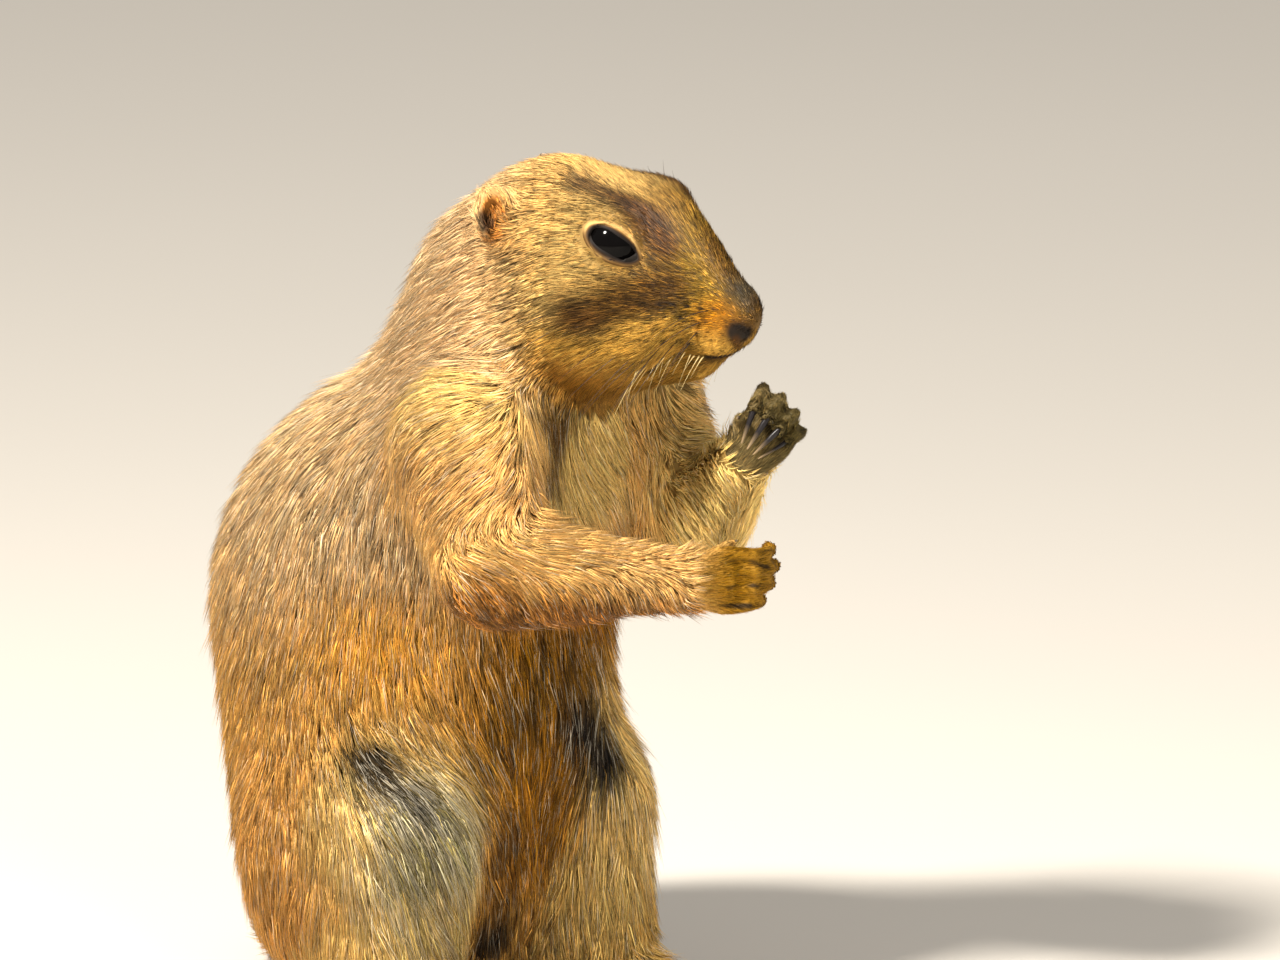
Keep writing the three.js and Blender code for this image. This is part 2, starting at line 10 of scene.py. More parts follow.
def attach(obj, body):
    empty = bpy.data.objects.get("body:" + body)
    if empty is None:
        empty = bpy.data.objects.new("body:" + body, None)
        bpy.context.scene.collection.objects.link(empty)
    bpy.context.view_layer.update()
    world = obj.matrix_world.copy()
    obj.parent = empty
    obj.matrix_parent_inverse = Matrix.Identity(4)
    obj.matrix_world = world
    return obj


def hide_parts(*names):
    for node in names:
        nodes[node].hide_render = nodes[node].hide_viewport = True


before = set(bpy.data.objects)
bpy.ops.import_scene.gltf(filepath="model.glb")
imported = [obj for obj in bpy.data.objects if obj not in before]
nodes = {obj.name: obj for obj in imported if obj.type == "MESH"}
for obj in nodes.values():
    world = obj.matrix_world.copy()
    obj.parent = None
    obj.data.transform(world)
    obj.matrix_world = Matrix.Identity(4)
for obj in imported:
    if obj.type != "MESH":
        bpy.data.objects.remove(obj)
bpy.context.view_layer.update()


# The skin

# The animal's own hide under the fur, one closed surface over the whole body with no seam at
# the neck or the limbs. It lies inside the coat by the coat's depth, which is thick on the
# body and next to nothing on the muzzle, the ears and the paws.
MM = 0.001
FLESH = [n for n in nodes if not n.startswith(("claw_", "eye_"))]
COAT_DEPTH = {
    "head": 0.35, "ear": 0.1, "neck": 3.6, "torso": 3.7, "upper_arm": 3.1, "forearm": 2.0,
    "hand": 0.45, "thigh": 3.4, "shin": 2.4, "foot": 0.55, "tail": 2.7,
}
KINDS = list(COAT_DEPTH)
EXACT = ("head", "hand_left", "hand_right", "foot_left", "foot_right")
GROWTH = 0.45
EAR_GROWTH = 0.32
SKIN_VOXEL = 0.52
SKIN_TRIANGLES = 186000
SMOOTHING_ROUNDS = 22
SHRINKING_ROUNDS = 8
FILLING_ROUNDS = 26
JOINING_ROUNDS = 40
HEAD_PLACE = np.array([3.0, -67.4, 165.0])
HEAD_TURN = math.radians(20)
EYE_PLACE = np.array([13.3, 1.2, 6.4])
NOSE_PLACE = (0, -22, -14)
BROW_PLACE, BROW_SIZE = (9, -5, 17), (9, 9, 8)


def triangles_of(mesh):
    """Corners and triangles of a mesh."""
    mesh.calc_loop_triangles()
    points = np.empty(len(mesh.vertices) * 3)
    mesh.vertices.foreach_get("co", points)
    corners = np.empty(len(mesh.loop_triangles) * 3, dtype=np.int32)
    mesh.loop_triangles.foreach_get("vertices", corners)
    return points.reshape(-1, 3), corners.reshape(-1, 3)


def read_node(name):
    """One of the solids in mm in the row frame, with corners that share a place made one."""
    points, corners = triangles_of(nodes[name].data)
    place = np.array(nodes[name].matrix_world)
    points = (points @ place[:3, :3].T + place[:3, 3]) / MM
    _, first, back = np.unique(np.round(points, 3), axis=0, return_index=True, return_inverse=True)
    return points[first], back.reshape(-1)[corners]


def joined(surfaces):
    """Several surfaces as one."""
    starts = np.cumsum([0] + [len(points) for points, _ in surfaces[:-1]])
    return (np.concatenate([points for points, _ in surfaces]),
            np.concatenate([corners + start for (_, corners), start in zip(surfaces, starts)]))


def corner_normals(points, corners):
    """Outward direction at every corner of a surface."""
    a, b, c = (points[corners[:, k]] for k in range(3))
    face = np.cross(b - a, c - a)
    out = np.empty_like(points)
    for axis in range(3):
        total = np.zeros(len(points))
        for k in range(3):
            total += np.bincount(corners[:, k], weights=face[:, axis], minlength=len(points))
        out[:, axis] = total
    return out / np.maximum(np.linalg.norm(out, axis=1, keepdims=True), 1e-12)


def make_mesh(name, points, corners):
    """A mesh object from corners in mm and triangles, shaded smooth."""
    mesh = bpy.data.meshes.new(name)
    mesh.vertices.add(len(points))
    mesh.vertices.foreach_set("co", np.ascontiguousarray(points * MM, dtype=np.float32).reshape(-1))
    mesh.loops.add(len(corners) * 3)
    mesh.loops.foreach_set("vertex_index", np.ascontiguousarray(corners, dtype=np.int32).reshape(-1))
    mesh.polygons.add(len(corners))
    mesh.polygons.foreach_set("loop_start", np.arange(0, len(corners) * 3, 3, dtype=np.int32))
    mesh.update(calc_edges=True)
    mesh.shade_smooth()
    thing = bpy.data.objects.new(name, mesh)
    bpy.context.scene.collection.objects.link(thing)
    return thing


def settle(thing):
    """Replaces an object's mesh by what its modifiers make of it, and gives it back in mm."""
    shape = thing.evaluated_get(bpy.context.evaluated_depsgraph_get())
    mesh = bpy.data.meshes.new_from_object(shape)
    thing.modifiers.clear()
    thing.data = mesh
    points, corners = triangles_of(mesh)
    return points / MM, corners


def to_head(points):
    """Row-frame places in the head's own frame: x to its left, y to its back, z up."""
    p = points - HEAD_PLACE
    c, s = math.cos(HEAD_TURN), math.sin(HEAD_TURN)
    return np.stack([c * p[:, 0] + s * p[:, 1], -s * p[:, 0] + c * p[:, 1], p[:, 2]], axis=1)


def folded(points):
    """Places with the right half laid over the left, for what is alike on both sides."""
    return np.abs(points) * [1, 0, 0] + points * [0, 1, 1]


def rise(x, low, high):
    """0 below low, 1 above high, and a smooth step between."""
    t = np.clip((x - low) / (high - low), 0, 1)
    return t * t * (3 - 2 * t)


solids = []
for name in FLESH:
    points, corners = read_node(name)
    if name not in EXACT:
        growth = EAR_GROWTH if name.startswith("ear") else GROWTH
        points = points + corner_normals(points, corners) * growth
    solids.append((points, corners))
solid_points, solid_corners = joined(solids)
solid_tree = BVHTree.FromPolygons(solid_points.tolist(), solid_corners.tolist())
kind_of_node = [next(n for n, k in enumerate(KINDS) if name.startswith(k)) for name in FLESH]
solid_kinds = np.repeat(kind_of_node, [len(corners) for _, corners in solids])


def kinds_at(points):
    """The sort of body part nearest to each place, as its number in KINDS."""
    return solid_kinds[[solid_tree.find_nearest(p)[2] for p in points.tolist()]]


def of_kind(group, *names):
    """Where a list of kinds holds one of those named."""
    return np.isin(group, [KINDS.index(n) for n in names])


skin = make_mesh("skin", solid_points, solid_corners)
remesh = skin.modifiers.new("remesh", "REMESH")
remesh.mode = "VOXEL"
remesh.voxel_size = SKIN_VOXEL * MM
skin_points, skin_corners = settle(skin)
coarse = ~of_kind(kinds_at(skin_points), "head", "ear", "hand", "foot")
skin.vertex_groups.new(name="coarse").add(np.nonzero(coarse)[0].tolist(), 1.0, "REPLACE")
thin = skin.modifiers.new("thin", "DECIMATE")
thin.ratio = SKIN_TRIANGLES / len(skin_corners)
thin.vertex_group = "coarse"
skin_points, skin_corners = settle(skin)


def sorted_edges(corners):
    """The edges of a surface, each once."""
    pairs = np.concatenate([corners[:, [0, 1]], corners[:, [1, 2]], corners[:, [2, 0]]])
    return np.unique(np.sort(pairs, axis=1), axis=0)


def largest(points, corners):
    """The largest closed surface of several, so that no scrap is left inside the body."""
    label = np.arange(len(points))
    edges = sorted_edges(corners)
    while True:
        low = np.minimum(label[edges[:, 0]], label[edges[:, 1]])
        new = label.copy()
        np.minimum.at(new, edges[:, 0], low)
        np.minimum.at(new, edges[:, 1], low)
        new = new[new]
        if (new == label).all():
            break
        label = new
    labels, sizes = np.unique(label, return_counts=True)
    keep = label == labels[sizes.argmax()]
    number = np.cumsum(keep) - 1
    return points[keep], number[corners[keep[corners[:, 0]]]]


def spread(values, edges, rounds, share=0.5):
    """Values at the corners, each moved towards the mean of its neighbours a number of times."""
    values = values.reshape(len(values), -1).copy()
    a, b = edges[:, 0], edges[:, 1]
    many = np.bincount(a, minlength=len(values)) + np.bincount(b, minlength=len(values))
    many = np.maximum(many, 1)[:, None]
    for _ in range(rounds):
        total = np.empty_like(values)
        for k in range(values.shape[1]):
            total[:, k] = np.bincount(a, weights=values[b, k], minlength=len(values))
            total[:, k] += np.bincount(b, weights=values[a, k], minlength=len(values))
        values += (total / many - values) * share
    return values


skin_points, skin_corners = largest(skin_points, skin_corners)
skin_edges = sorted_edges(skin_corners)
skin_group = kinds_at(skin_points)
is_kind = {k: skin_group == n for n, k in enumerate(KINDS)}


def soften(share, rounds=1, step=0.5):
    """How far the skin's corners move, by a share of the way, towards their neighbours' mean."""
    return (spread(skin_points, skin_edges, rounds, step) - skin_points) * share


# The facets are smoothed away without shrinking the form, less round the lids and nostrils.
in_head = to_head(skin_points)
eye_gap = np.linalg.norm(folded(in_head) - EYE_PLACE, axis=1)
nose_gap = np.linalg.norm(in_head - NOSE_PLACE, axis=1)
soft = 1 - 0.8 * (1 - rise(eye_gap, 6.5, 9.5))
soft *= 1 - 0.6 * (1 - rise(nose_gap, 5, 9))
soft[is_kind["ear"]] = 0.5
soft = soft[:, None]
for _ in range(SMOOTHING_ROUNDS):
    skin_points += soften(soft)
    skin_points -= soften(soft, step=0.53)

# The skin sinks under the coat by the coat's depth, in small steps. On the head the coat is
# thicker from the muzzle to the nape and under the cheeks.
depth = np.array(list(COAT_DEPTH.values()))[skin_group]
head = is_kind["head"]
_, y, z = in_head[head].T
depth[head] = COAT_DEPTH["head"] + 1.0 * rise(y, -19, 2) + 2.0 * rise(y, 14, 34)
depth[head] += 0.9 * rise(-z, 2, 12) * rise(y, -8, 6)
depth *= rise(eye_gap, 6.2, 11)
depth = spread(depth, skin_edges, 14)[:, 0]
furred = rise(depth, 0.6, 1.6)[:, None]
for _ in range(SHRINKING_ROUNDS):
    skin_points -= corner_normals(skin_points, skin_corners) * depth[:, None] / SHRINKING_ROUNDS
    skin_points += soften(furred * 0.5)

# Fat and loose skin fill the folds where the arms, the neck and the thighs join the trunk.
filling = of_kind(skin_group, "torso", "neck", "upper_arm", "thigh", "tail").astype(float)
filling = np.maximum(filling, head * rise(in_head[:, 1], 12, 26))
filling = np.maximum(filling, is_kind["shin"] * 0.5)
filling = spread(filling, skin_edges, 3)
for _ in range(FILLING_ROUNDS):
    lean = corner_normals(skin_points, skin_corners)
    hollow = (soften(1, step=1.0) * lean).sum(axis=1, keepdims=True)
    skin_points += lean * (np.maximum(hollow, 0) * 0.7 * filling)
skin_points += soften(filling * furred, rounds=4)

# The arms and thighs pass into the trunk without an edge, and the brow is rounded.
limb = spread(of_kind(skin_group, "upper_arm", "thigh").astype(float), skin_edges, 70)[:, 0]
joining = np.clip(5 * limb * (1 - limb), 0, 1) * rise(depth, 1.5, 2.5)
brow_gap = np.linalg.norm((folded(in_head) - BROW_PLACE) / BROW_SIZE, axis=1)
joining = np.maximum(joining, head * (1 - rise(brow_gap, 0.4, 1)))[:, None]
for _ in range(JOINING_ROUNDS):
    skin_points += soften(joining)
skin_normals = corner_normals(skin_points, skin_corners)
bpy.data.objects.remove(skin)
skin = make_mesh("skin", skin_points, skin_corners)

bpy.context.view_layer.objects.active = skin
skin.select_set(True)
bpy.ops.object.mode_set(mode="EDIT")
bpy.ops.mesh.select_all(action="SELECT")
bpy.ops.uv.smart_project(angle_limit=math.radians(66), island_margin=0.001)
bpy.ops.object.mode_set(mode="OBJECT")
skin.data.uv_layers[0].name = "OFBake"
skin_uv = np.empty(len(skin.data.loops) * 2, dtype=np.float32)
skin.data.uv_layers["OFBake"].data.foreach_get("uv", skin_uv)
skin_uv = skin_uv.reshape(-1, 3, 2)


# The markings

# A black-tailed prairie dog in summer coat: sandy back, golden belly, rufous thighs, cream lips
# and throat, a dark brow stripe and a grizzled patch under the eye, grey-black knees and a
# dark end to the tail. Skin and fur take the same colour at the same place. Painted shade is
# laid in too: on the belly under the arm, between the legs, under the right arm and the chin,
# in the nostrils, the mouth and the ear's opening, between the fingers, over the left hand and
# deep in the coat. The left forearm is made paler with painted light.
def paint(red, green, blue):
    """A colour as the eye reads it, 0 to 255, as light values."""
    c = np.array([red, green, blue]) / 255
    return np.where(c <= 0.04045, c / 12.92, ((c + 0.055) / 1.055) ** 2.4)


# The colours of the coat and the bare skin.
BACK = paint(206, 170, 118)
NAPE = paint(232, 192, 138)
FLANK = paint(202, 150, 68)
GOLD = paint(232, 168, 60)
# The belly's own golden colour, darkened by painted shade for the shadow under the arm and between the legs.
BELLY_IN_SHADE = paint(134, 88, 8)
# Painted shadow: dark brown laid on the lower belly where the arm's shadow falls.
ARM_SHADOW_ON_BELLY = paint(78, 54, 6)
CHEST = paint(238, 202, 120)
RUFOUS = paint(186, 134, 66)
ORANGE = paint(176, 98, 12)
HUMERUS = paint(208, 158, 88)
ARM = paint(248, 194, 110)
WRIST = paint(252, 200, 122)
# Partly the coat's own deep orange, partly painted shade: laid on the underside of the right arm, at the
# right elbow and under the chin.
UNDERSIDE_SHADOW = paint(112, 62, 4)
PAW = paint(152, 108, 20)
# Dark olive, laid as painted shade on the fingertips and over the left hand.
OLIVE = paint(64, 60, 36)
SHIN = paint(134, 122, 74)
LEG = paint(202, 168, 100)
CREAM = paint(190, 146, 62)
CROWN = paint(174, 142, 82)
CAP = paint(188, 148, 86)
FRONT = paint(104, 77, 30)
MUZZLE = paint(110, 84, 24)
BROWN = paint(70, 42, 12)
GRIZZLE = paint(74, 49, 13)
LIP = paint(134, 84, 4)
INK = paint(24, 20, 17)
SMOKE = paint(44, 38, 26)
WHITE = paint(232, 222, 200)
LID_PALE = paint(180, 142, 84)
EAR_INNER = paint(146, 94, 38)


def unit(v):
    """Directions made one long."""
    return v / np.maximum(np.linalg.norm(v, axis=-1, keepdims=True), 1e-9)


def stretch_gap(points, a, b):
    """How far places are from the straight stretch between two others."""
    t = np.clip((points - a) @ (b - a) / ((b - a) @ (b - a)), 0, 1)
    return np.linalg.norm(points - a - t[:, None] * (b - a), axis=1)


def blob(points, centre, size, edge):
    """1 inside an ellipsoid and 0 outside, softened over a share of its size."""
    far = np.linalg.norm((points - centre) / size, axis=1)
    return 1 - rise(far, 1 - edge, 1 + edge)


def streak(points, route, radius, edge):
    """1 near a route of places and 0 away from it, softened over a share of its radius."""
    route = np.array(route, dtype=float)
    far = np.min([stretch_gap(points, a, b) for a, b in zip(route[:-1], route[1:])], axis=0)
    return 1 - rise(far / radius, 1 - edge, 1 + edge)


def laid(tint, layers):
    """Colours laid one over another, each by its mask."""
    for colour, mask in layers:
        tint = tint + (colour - tint) * mask[:, None]
    return tint


def marks(table, points, where=1):
    """The layers of a table of marks: a blob round one place, or a streak along several."""
    layers = []
    for colour, strength, spot, size, edge in table:
        shape = streak if isinstance(spot, list) else blob
        layers.append((colour, where * strength * shape(points, spot, size, edge)))
    return layers


EYE_FACING = unit(np.array([0.93, -0.34, 0.15]))
EYE_SLANT = math.radians(20)
EYE_FRONT = np.array([0, -math.cos(EYE_SLANT), -math.sin(EYE_SLANT)])
EYE_FRONT = unit(EYE_FRONT - EYE_FACING * (EYE_FRONT @ EYE_FACING))
EYE_UP = np.cross(EYE_FRONT, EYE_FACING)
EYE_UP = EYE_UP * np.sign(EYE_UP[2])
EYE_REACH = 14
LID_TOP = ((6.4, -1.0), (4.2, 3.6), (-6.4, 4.2), (-5.8, 0.0))
LID_FOOT = ((-5.8, 0.0), (-5.2, -3.6), (5.2, -4.4), (6.4, -1.0))
LID_POINTS = 44


def curve(a, b, c, d, count):
    """Places on a cubic curve, without its last."""
    t = (np.arange(count) / count)[:, None]
    a, b, c, d = (np.array(v, dtype=float) for v in (a, b, c, d))
    return a * (1 - t) ** 3 + 3 * b * t * (1 - t) ** 2 + 3 * c * t * t * (1 - t) + d * t ** 3


lid_line = np.concatenate([curve(*LID_TOP, LID_POINTS), curve(*LID_FOOT, LID_POINTS)])


def lid_gap(face):
    """How far places stand outside the opening between the lids, in the eye's own plane."""
    p = face - EYE_PLACE
    ahead, rising = p @ EYE_FRONT, p @ EYE_UP
    turns = np.arctan2(lid_line[:, 1], lid_line[:, 0])
    order = np.argsort(turns)
    reach = np.linalg.norm(lid_line[order], axis=1)
    lid = np.interp(np.arctan2(rising, ahead), turns[order], reach, period=2 * math.pi)
    at_eye = (p @ EYE_FACING > 0) & (np.linalg.norm(p, axis=1) < EYE_REACH)
    return np.where(at_eye, np.hypot(ahead, rising) - lid, 20)


EAR_OUT = unit(np.array([0.9, -0.4, 0.1]))
EAR_UP = np.array([0, 0.2, 1.0])
EAR_UP = unit(EAR_UP - EAR_OUT * (EAR_UP @ EAR_OUT))
EAR_AHEAD = np.cross(EAR_OUT, EAR_UP)
EAR_CUP = np.array([17.6, 26.2, 11.0]) + EAR_OUT * 3.52 - EAR_UP * 0.4
EAR_CUP_SIZE = np.array([3.4, 2.3, 4.6])


def ear_hollow(face):
    """How far places lie from the middle of the ear's cup, 1 at its wall."""
    across = (face - EAR_CUP) @ np.array([EAR_OUT, EAR_AHEAD, EAR_UP]).T
    return np.linalg.norm(across / EAR_CUP_SIZE, axis=1)


WHISKERS_IN_ROW = 5
NEXT_BACK, NEXT_UP = 2.3, 0.5
WHISKER_ROWS = [(-19.0, -7.5), (-17.6, -9.8), (-16.2, -12.2), (-14.6, -14.6)]
BROW_STRIPE = [(9.5, 9, 18.6), (12.9, -1, 16.1), (13.9, -5, 14), (12.2, -7.7, 10.4), (11.7, -9.8, 7)]
CHEEK_PATCH = [(15, -12, -2.5), (19, -6.8, -3.7), (21.5, -2, -5.2), (23.6, 3, -7.8), (23.5, 7, -8.2)]
NOSTRIL = [(3.6, -24, -12.8), (6.6, -23.6, -12.2)]
MOUTH_LINE = [(0, -22, -17.2), (4.6, -20, -18.2), (7.4, -16, -18.8), (9.6, -11, -19.6), (10.8, -6.5, -20.6)]
# Painted shadow that the upper lip casts on the chin, just under the mouth line.
UNDER_LIP_SHADOW = [(x, y, z - 2) for x, y, z in MOUTH_LINE]
PARTING = [(-15, -57, 131), (-10, -54, 130), (-10, -53, 117)]
# Painted shade down the crotch between the thighs.
CROTCH_SHADOW = [(-10, -42, 40), (-8, -38, 28), (-4, -33, 14)]
RIGHT_KNEE = [(-37, -27, 58.5), (-39, -36, 55), (-36, -43, 50)]
LEFT_KNEE = [(3, -51, 63), (9, -51, 60), (12, -51, 53)]
# Painted shadow in the gaps between the right hand's fingers.
FINGER_GAP_SHADOWS = [
    [(-6, -98, 107), (-1, -102, 106), (2, -103, 105)],
    [(-6, -99, 101), (-3, -101, 101.6), (2, -104, 101)],
    [(-7, -97, 97), (-3, -100, 97), (0, -103, 97)]]

# Each mark has its colour, its strength, its place or the places along it, its half-sizes or
# half its width in mm, and how soft its rim is. The head's lie in the head's own frame.
BODY_MARKS = [
    # The first mark is painted shadow of the arm on the lower belly.
    (ARM_SHADOW_ON_BELLY, 0.75, (-2, -52, 68), (20, 14, 18), 0.5), (CHEST, 1.0, (2, -60, 122), (25, 22, 22), 0.5),
    (ORANGE, 0.55, (14, -58, 96), (22, 16, 12), 0.6)]
LEG_MARKS = [
    (LEG, 1.0, (-38, -34, 46), (15, 18, 22), 0.5), (SHIN, 1.0, (-34, -42, 34), (14, 10, 30), 0.5),
    # The belly colour low between the legs on this line, and the brown band and near-black blob on the next,
    # are painted shade in the crotch.
    (LEG, 1.0, (18, -50, 42), (13, 14, 28), 0.5), (BELLY_IN_SHADE, 0.8, (-2, -44, 40), (11, 12, 24), 0.5),
    (BROWN, 0.7, CROTCH_SHADOW, 5, 0.7), (INK, 0.95, (-4, -34, 15), (7, 9, 8), 0.5),
    (INK, 0.95, RIGHT_KNEE, 6.0, 0.5), (INK, 1.0, LEFT_KNEE, 7.0, 0.5),
    (INK, 0.6, [(6, -50, 58), (1, -48, 46)], 4, 0.6), (BROWN, 0.85, PARTING, 4.0, 0.6),
    (BROWN, 0.6, (-11, -54, 132), (9, 9, 6), 0.6)]
HEAD_MARKS = [
    (BROWN, 0.95, BROW_STRIPE, 3.6, 0.8), (BROWN, 0.5, (13, -6, 12), (5, 5, 6), 0.6),
    (GRIZZLE, 0.96, CHEEK_PATCH, 5.2, 0.7), (BROWN, 0.5, (23.6, 5, -8), (5, 5, 3), 0.6),
    (GRIZZLE, 0.2, (21, 22, -9), (8, 9, 5), 0.6), (CREAM, 0.8, (16, -8, -12), (8, 8, 4), 0.5),
    (LIP, 0.8, (7.4, -19.5, -9.5), (4.5, 5.5, 4.2), 0.6),
    (GRIZZLE, 0.8, (0, -18, 1), (5.5, 12, 8), 0.6), (SMOKE, 0.9, (1, -24, -5.5), (5, 5, 4.6), 0.6),
    (GRIZZLE, 0.7, (0, -26, -10), (4.5, 4, 4), 0.6),
    (GRIZZLE, 0.5, [(3, -21, -18.2), (6, -14, -19.4)], 2.4, 0.7)]
# Painted shadow under the chin: orange and dark rufous on the throat under the jaw.
CHIN_SHADOW_MARKS = [
    (ORANGE, 0.22, (15, 8, -25), (12, 14, 8), 0.6), (UNDERSIDE_SHADOW, 0.4, (4, 8, -32), (12, 16, 5), 0.6)]
# Painted shade: in the nostril hollow, down the groove from nose to mouth, under the upper lip and in the
# mouth's gap.
NOSE_AND_MOUTH_SHADOWS = [
    (BROWN, 0.8, NOSTRIL, 3.0, 0.6), (INK, 0.95, NOSTRIL, 2.0, 0.4),
    (BROWN, 0.85, [(6, -23, -14), (2.4, -23.4, -17.5)], 1.1, 0.6),
    (BROWN, 0.7, UNDER_LIP_SHADOW, 2.6, 0.6), (INK, 1.0, MOUTH_LINE, 1.2, 0.4)]
# The near-black spot is painted shade in the ear's opening. The smoky patch below the ear is the coat's own
# colour.
EAR_MARKS = [
    (INK, 0.9, (21, 26.5, 10.4), (2.2, 2.4, 2.6), 0.5), (SMOKE, 0.45, (20.5, 22.5, 2.6), (4, 4, 3.6), 0.5)]


def body_layers(points, group):
    """The layers of colour on the trunk, the limbs and the tail."""
    x, y, z = points.T
    side = folded(points)
    arm, hand, tail = of_kind(group, "upper_arm", "forearm"), of_kind(group, "hand"), of_kind(group, "tail")
    return [
        (FLANK, rise(-z, -108, -66) * 0.9), (NAPE, rise(z, 118, 150)),
        *marks([(GOLD, 0.95, (36, -34, 82), (12, 24, 12), 0.6)], side),
        # The front of the belly: its own colour darkened by painted shade.
        (BELLY_IN_SHADE, rise(-y, 30, 48) * rise(-z, -108, -84)),
        *marks(BODY_MARKS, points),
        *marks([(RUFOUS, 0.85, (46, 4, 28), (20, 32, 34), 0.5)], side),
        *marks(LEG_MARKS, points),
        (CHEST, of_kind(group, "shin", "foot") * 0.5 * (1 - rise(-z, -12, -4))),
        (HUMERUS, arm * 0.8 * (1 - rise(-z, -118, -106))), (CHEST, arm * 0.6 * rise(z, 122, 138)),
        (ARM, arm * 0.9 * rise(-z, -120, -108)), (WRIST, arm * 0.9 * rise(-y, 74, 88)),
        # Painted shade, with the coat's deep orange, on the underside of the right arm and in a spot at the
        # right elbow.
        (UNDERSIDE_SHADOW, arm * 0.9 * rise(-z - 0.1 * (x + 10), -103, -96) * (x < 8)),
        *marks([(UNDERSIDE_SHADOW, 0.8, (-46, -67, 104), (5, 7, 5), 0.6)], points, arm),
        # Painted light: the left forearm is paler than the chest, as if lit where it passes under the chin.
        (CHEST * 1.15, arm * (x > 6) * rise(-y, 52, 66)),
        (PAW, hand), (WRIST, hand * 0.8 * (1 - rise(-y, 89, 99))),
        # Painted shade: the fingertips darkened olive where they curve away.
        (OLIVE, hand * 0.45 * rise(-y, 100, 106)),
        # Painted shadow between the fingers.
        *marks([(INK, 0.9, gap, 0.62, 0.5) for gap in FINGER_GAP_SHADOWS], points, hand),
        # Painted shade: the left hand, away from the light, is laid over in dark olive.
        (OLIVE, (hand & (x > 8)) * 0.9), (RUFOUS, tail * 0.5), (INK, tail * 0.9 * rise(x, 40, 58))]


def head_layers(points, group):
    """The layers of colour on the head, the ears and the throat."""
    q = to_head(points)
    _, y, z = q.T
    face = folded(q)
    head = of_kind(group, "head", "ear")
    near = (head + of_kind(group, "neck") * rise(z, -34, -24)) * (1 - rise(y, 14, 34))
    gap, inside = lid_gap(face), ear_hollow(face)
    above = rise((face - EYE_PLACE) @ EYE_UP, -1.5, 1.5)
    spots = [np.hypot(y - back - NEXT_BACK * k, z - high - NEXT_UP * k)
             for back, high in WHISKER_ROWS for k in range(WHISKERS_IN_ROW)]
    return [
        (CROWN, near), (CAP, near * 0.8 * rise(y, 6, 20) * rise(z, -6, 6)),
        *marks([(CAP, 0.4, (0, 9, 20), (8, 11, 5), 0.6)], face, near),
        (FRONT, near * rise(-y, -4, 8)),
        *marks([(FRONT, 0.6, (21, 0, -3), (7, 8, 6), 0.6)], face, near),
        (CREAM, near * rise(-z, 8, 14) * (1 - rise(y, 8, 24))),
        # Painted shadow under the chin.
        *marks(CHIN_SHADOW_MARKS, face, near),
        (MUZZLE, head * 0.9 * rise(-y, 9, 14) * rise(z, -12, -8)),
        *marks(HEAD_MARKS, face, head),
        (FRONT, head * 0.7 * (1 - rise(gap, 1.6, 3))), (LID_PALE, head * above * (1 - rise(gap, 0.8, 1.5))),
        (INK, head * (gap < 0.35)),
        # Painted shade in the nostrils, the groove under the nose, under the upper lip and in the mouth.
        *marks(NOSE_AND_MOUTH_SHADOWS, face, head),
        *[(INK, head * 0.85 * (1 - rise(far, 0.28, 0.55))) for far in spots],
        (LIP, head * 0.4 * (1 - rise(inside, 1.5, 2.2))), (EAR_INNER, head * (1 - rise(inside, 1.0, 1.25))),
        # The ear marks include painted shade in the ear's opening.
        *marks(EAR_MARKS, face, head)]


def coat_tint(points, group):
    """The coat's colour at places in the row frame, as light values."""
    tint = np.tile(BACK, (len(points), 1))
    return laid(tint, body_layers(points, group) + head_layers(points, group))


def colour_corners(piece, colours):
    """Gives a piece its colours, one at each corner, under the name its material reads."""
    rgba = np.ones((len(colours), 4), dtype=np.float32)
    rgba[:, :3] = colours
    layer = piece.data.color_attributes.new(name="tint", type="FLOAT_COLOR", domain="POINT")
    layer.data.foreach_set("color", rgba.reshape(-1))


def make_mottle():
    """The fine uneven shade that every surface of the animal has, as a node group."""
    group = bpy.data.node_groups.new("mottle", "ShaderNodeTree")
    group.interface.new_socket(name="Colour", in_out="INPUT", socket_type="NodeSocketColor")
    for name in ("Scale", "Darkest", "Lightest"):
        group.interface.new_socket(name=name, in_out="INPUT", socket_type="NodeSocketFloat")
    group.interface.new_socket(name="Colour", in_out="OUTPUT", socket_type="NodeSocketColor")
    given, result, place, noise, shade, scale = (group.nodes.new(kind) for kind in (
        "NodeGroupInput", "NodeGroupOutput", "ShaderNodeTexCoord", "ShaderNodeTexNoise",
        "ShaderNodeMapRange", "ShaderNodeVectorMath"))
    scale.operation = "SCALE"
    for source, target in (
            (place.outputs["Object"], noise.inputs["Vector"]),
            (given.outputs["Scale"], noise.inputs["Scale"]), (noise.outputs["Fac"], shade.inputs["Value"]),
            (given.outputs["Darkest"], shade.inputs["To Min"]),
            (given.outputs["Lightest"], shade.inputs["To Max"]),
            (given.outputs["Colour"], scale.inputs[0]), (shade.outputs["Result"], scale.inputs["Scale"]),
            (scale.outputs["Vector"], result.inputs["Colour"])):
        group.links.new(source, target)
    return group


mottle = make_mottle()


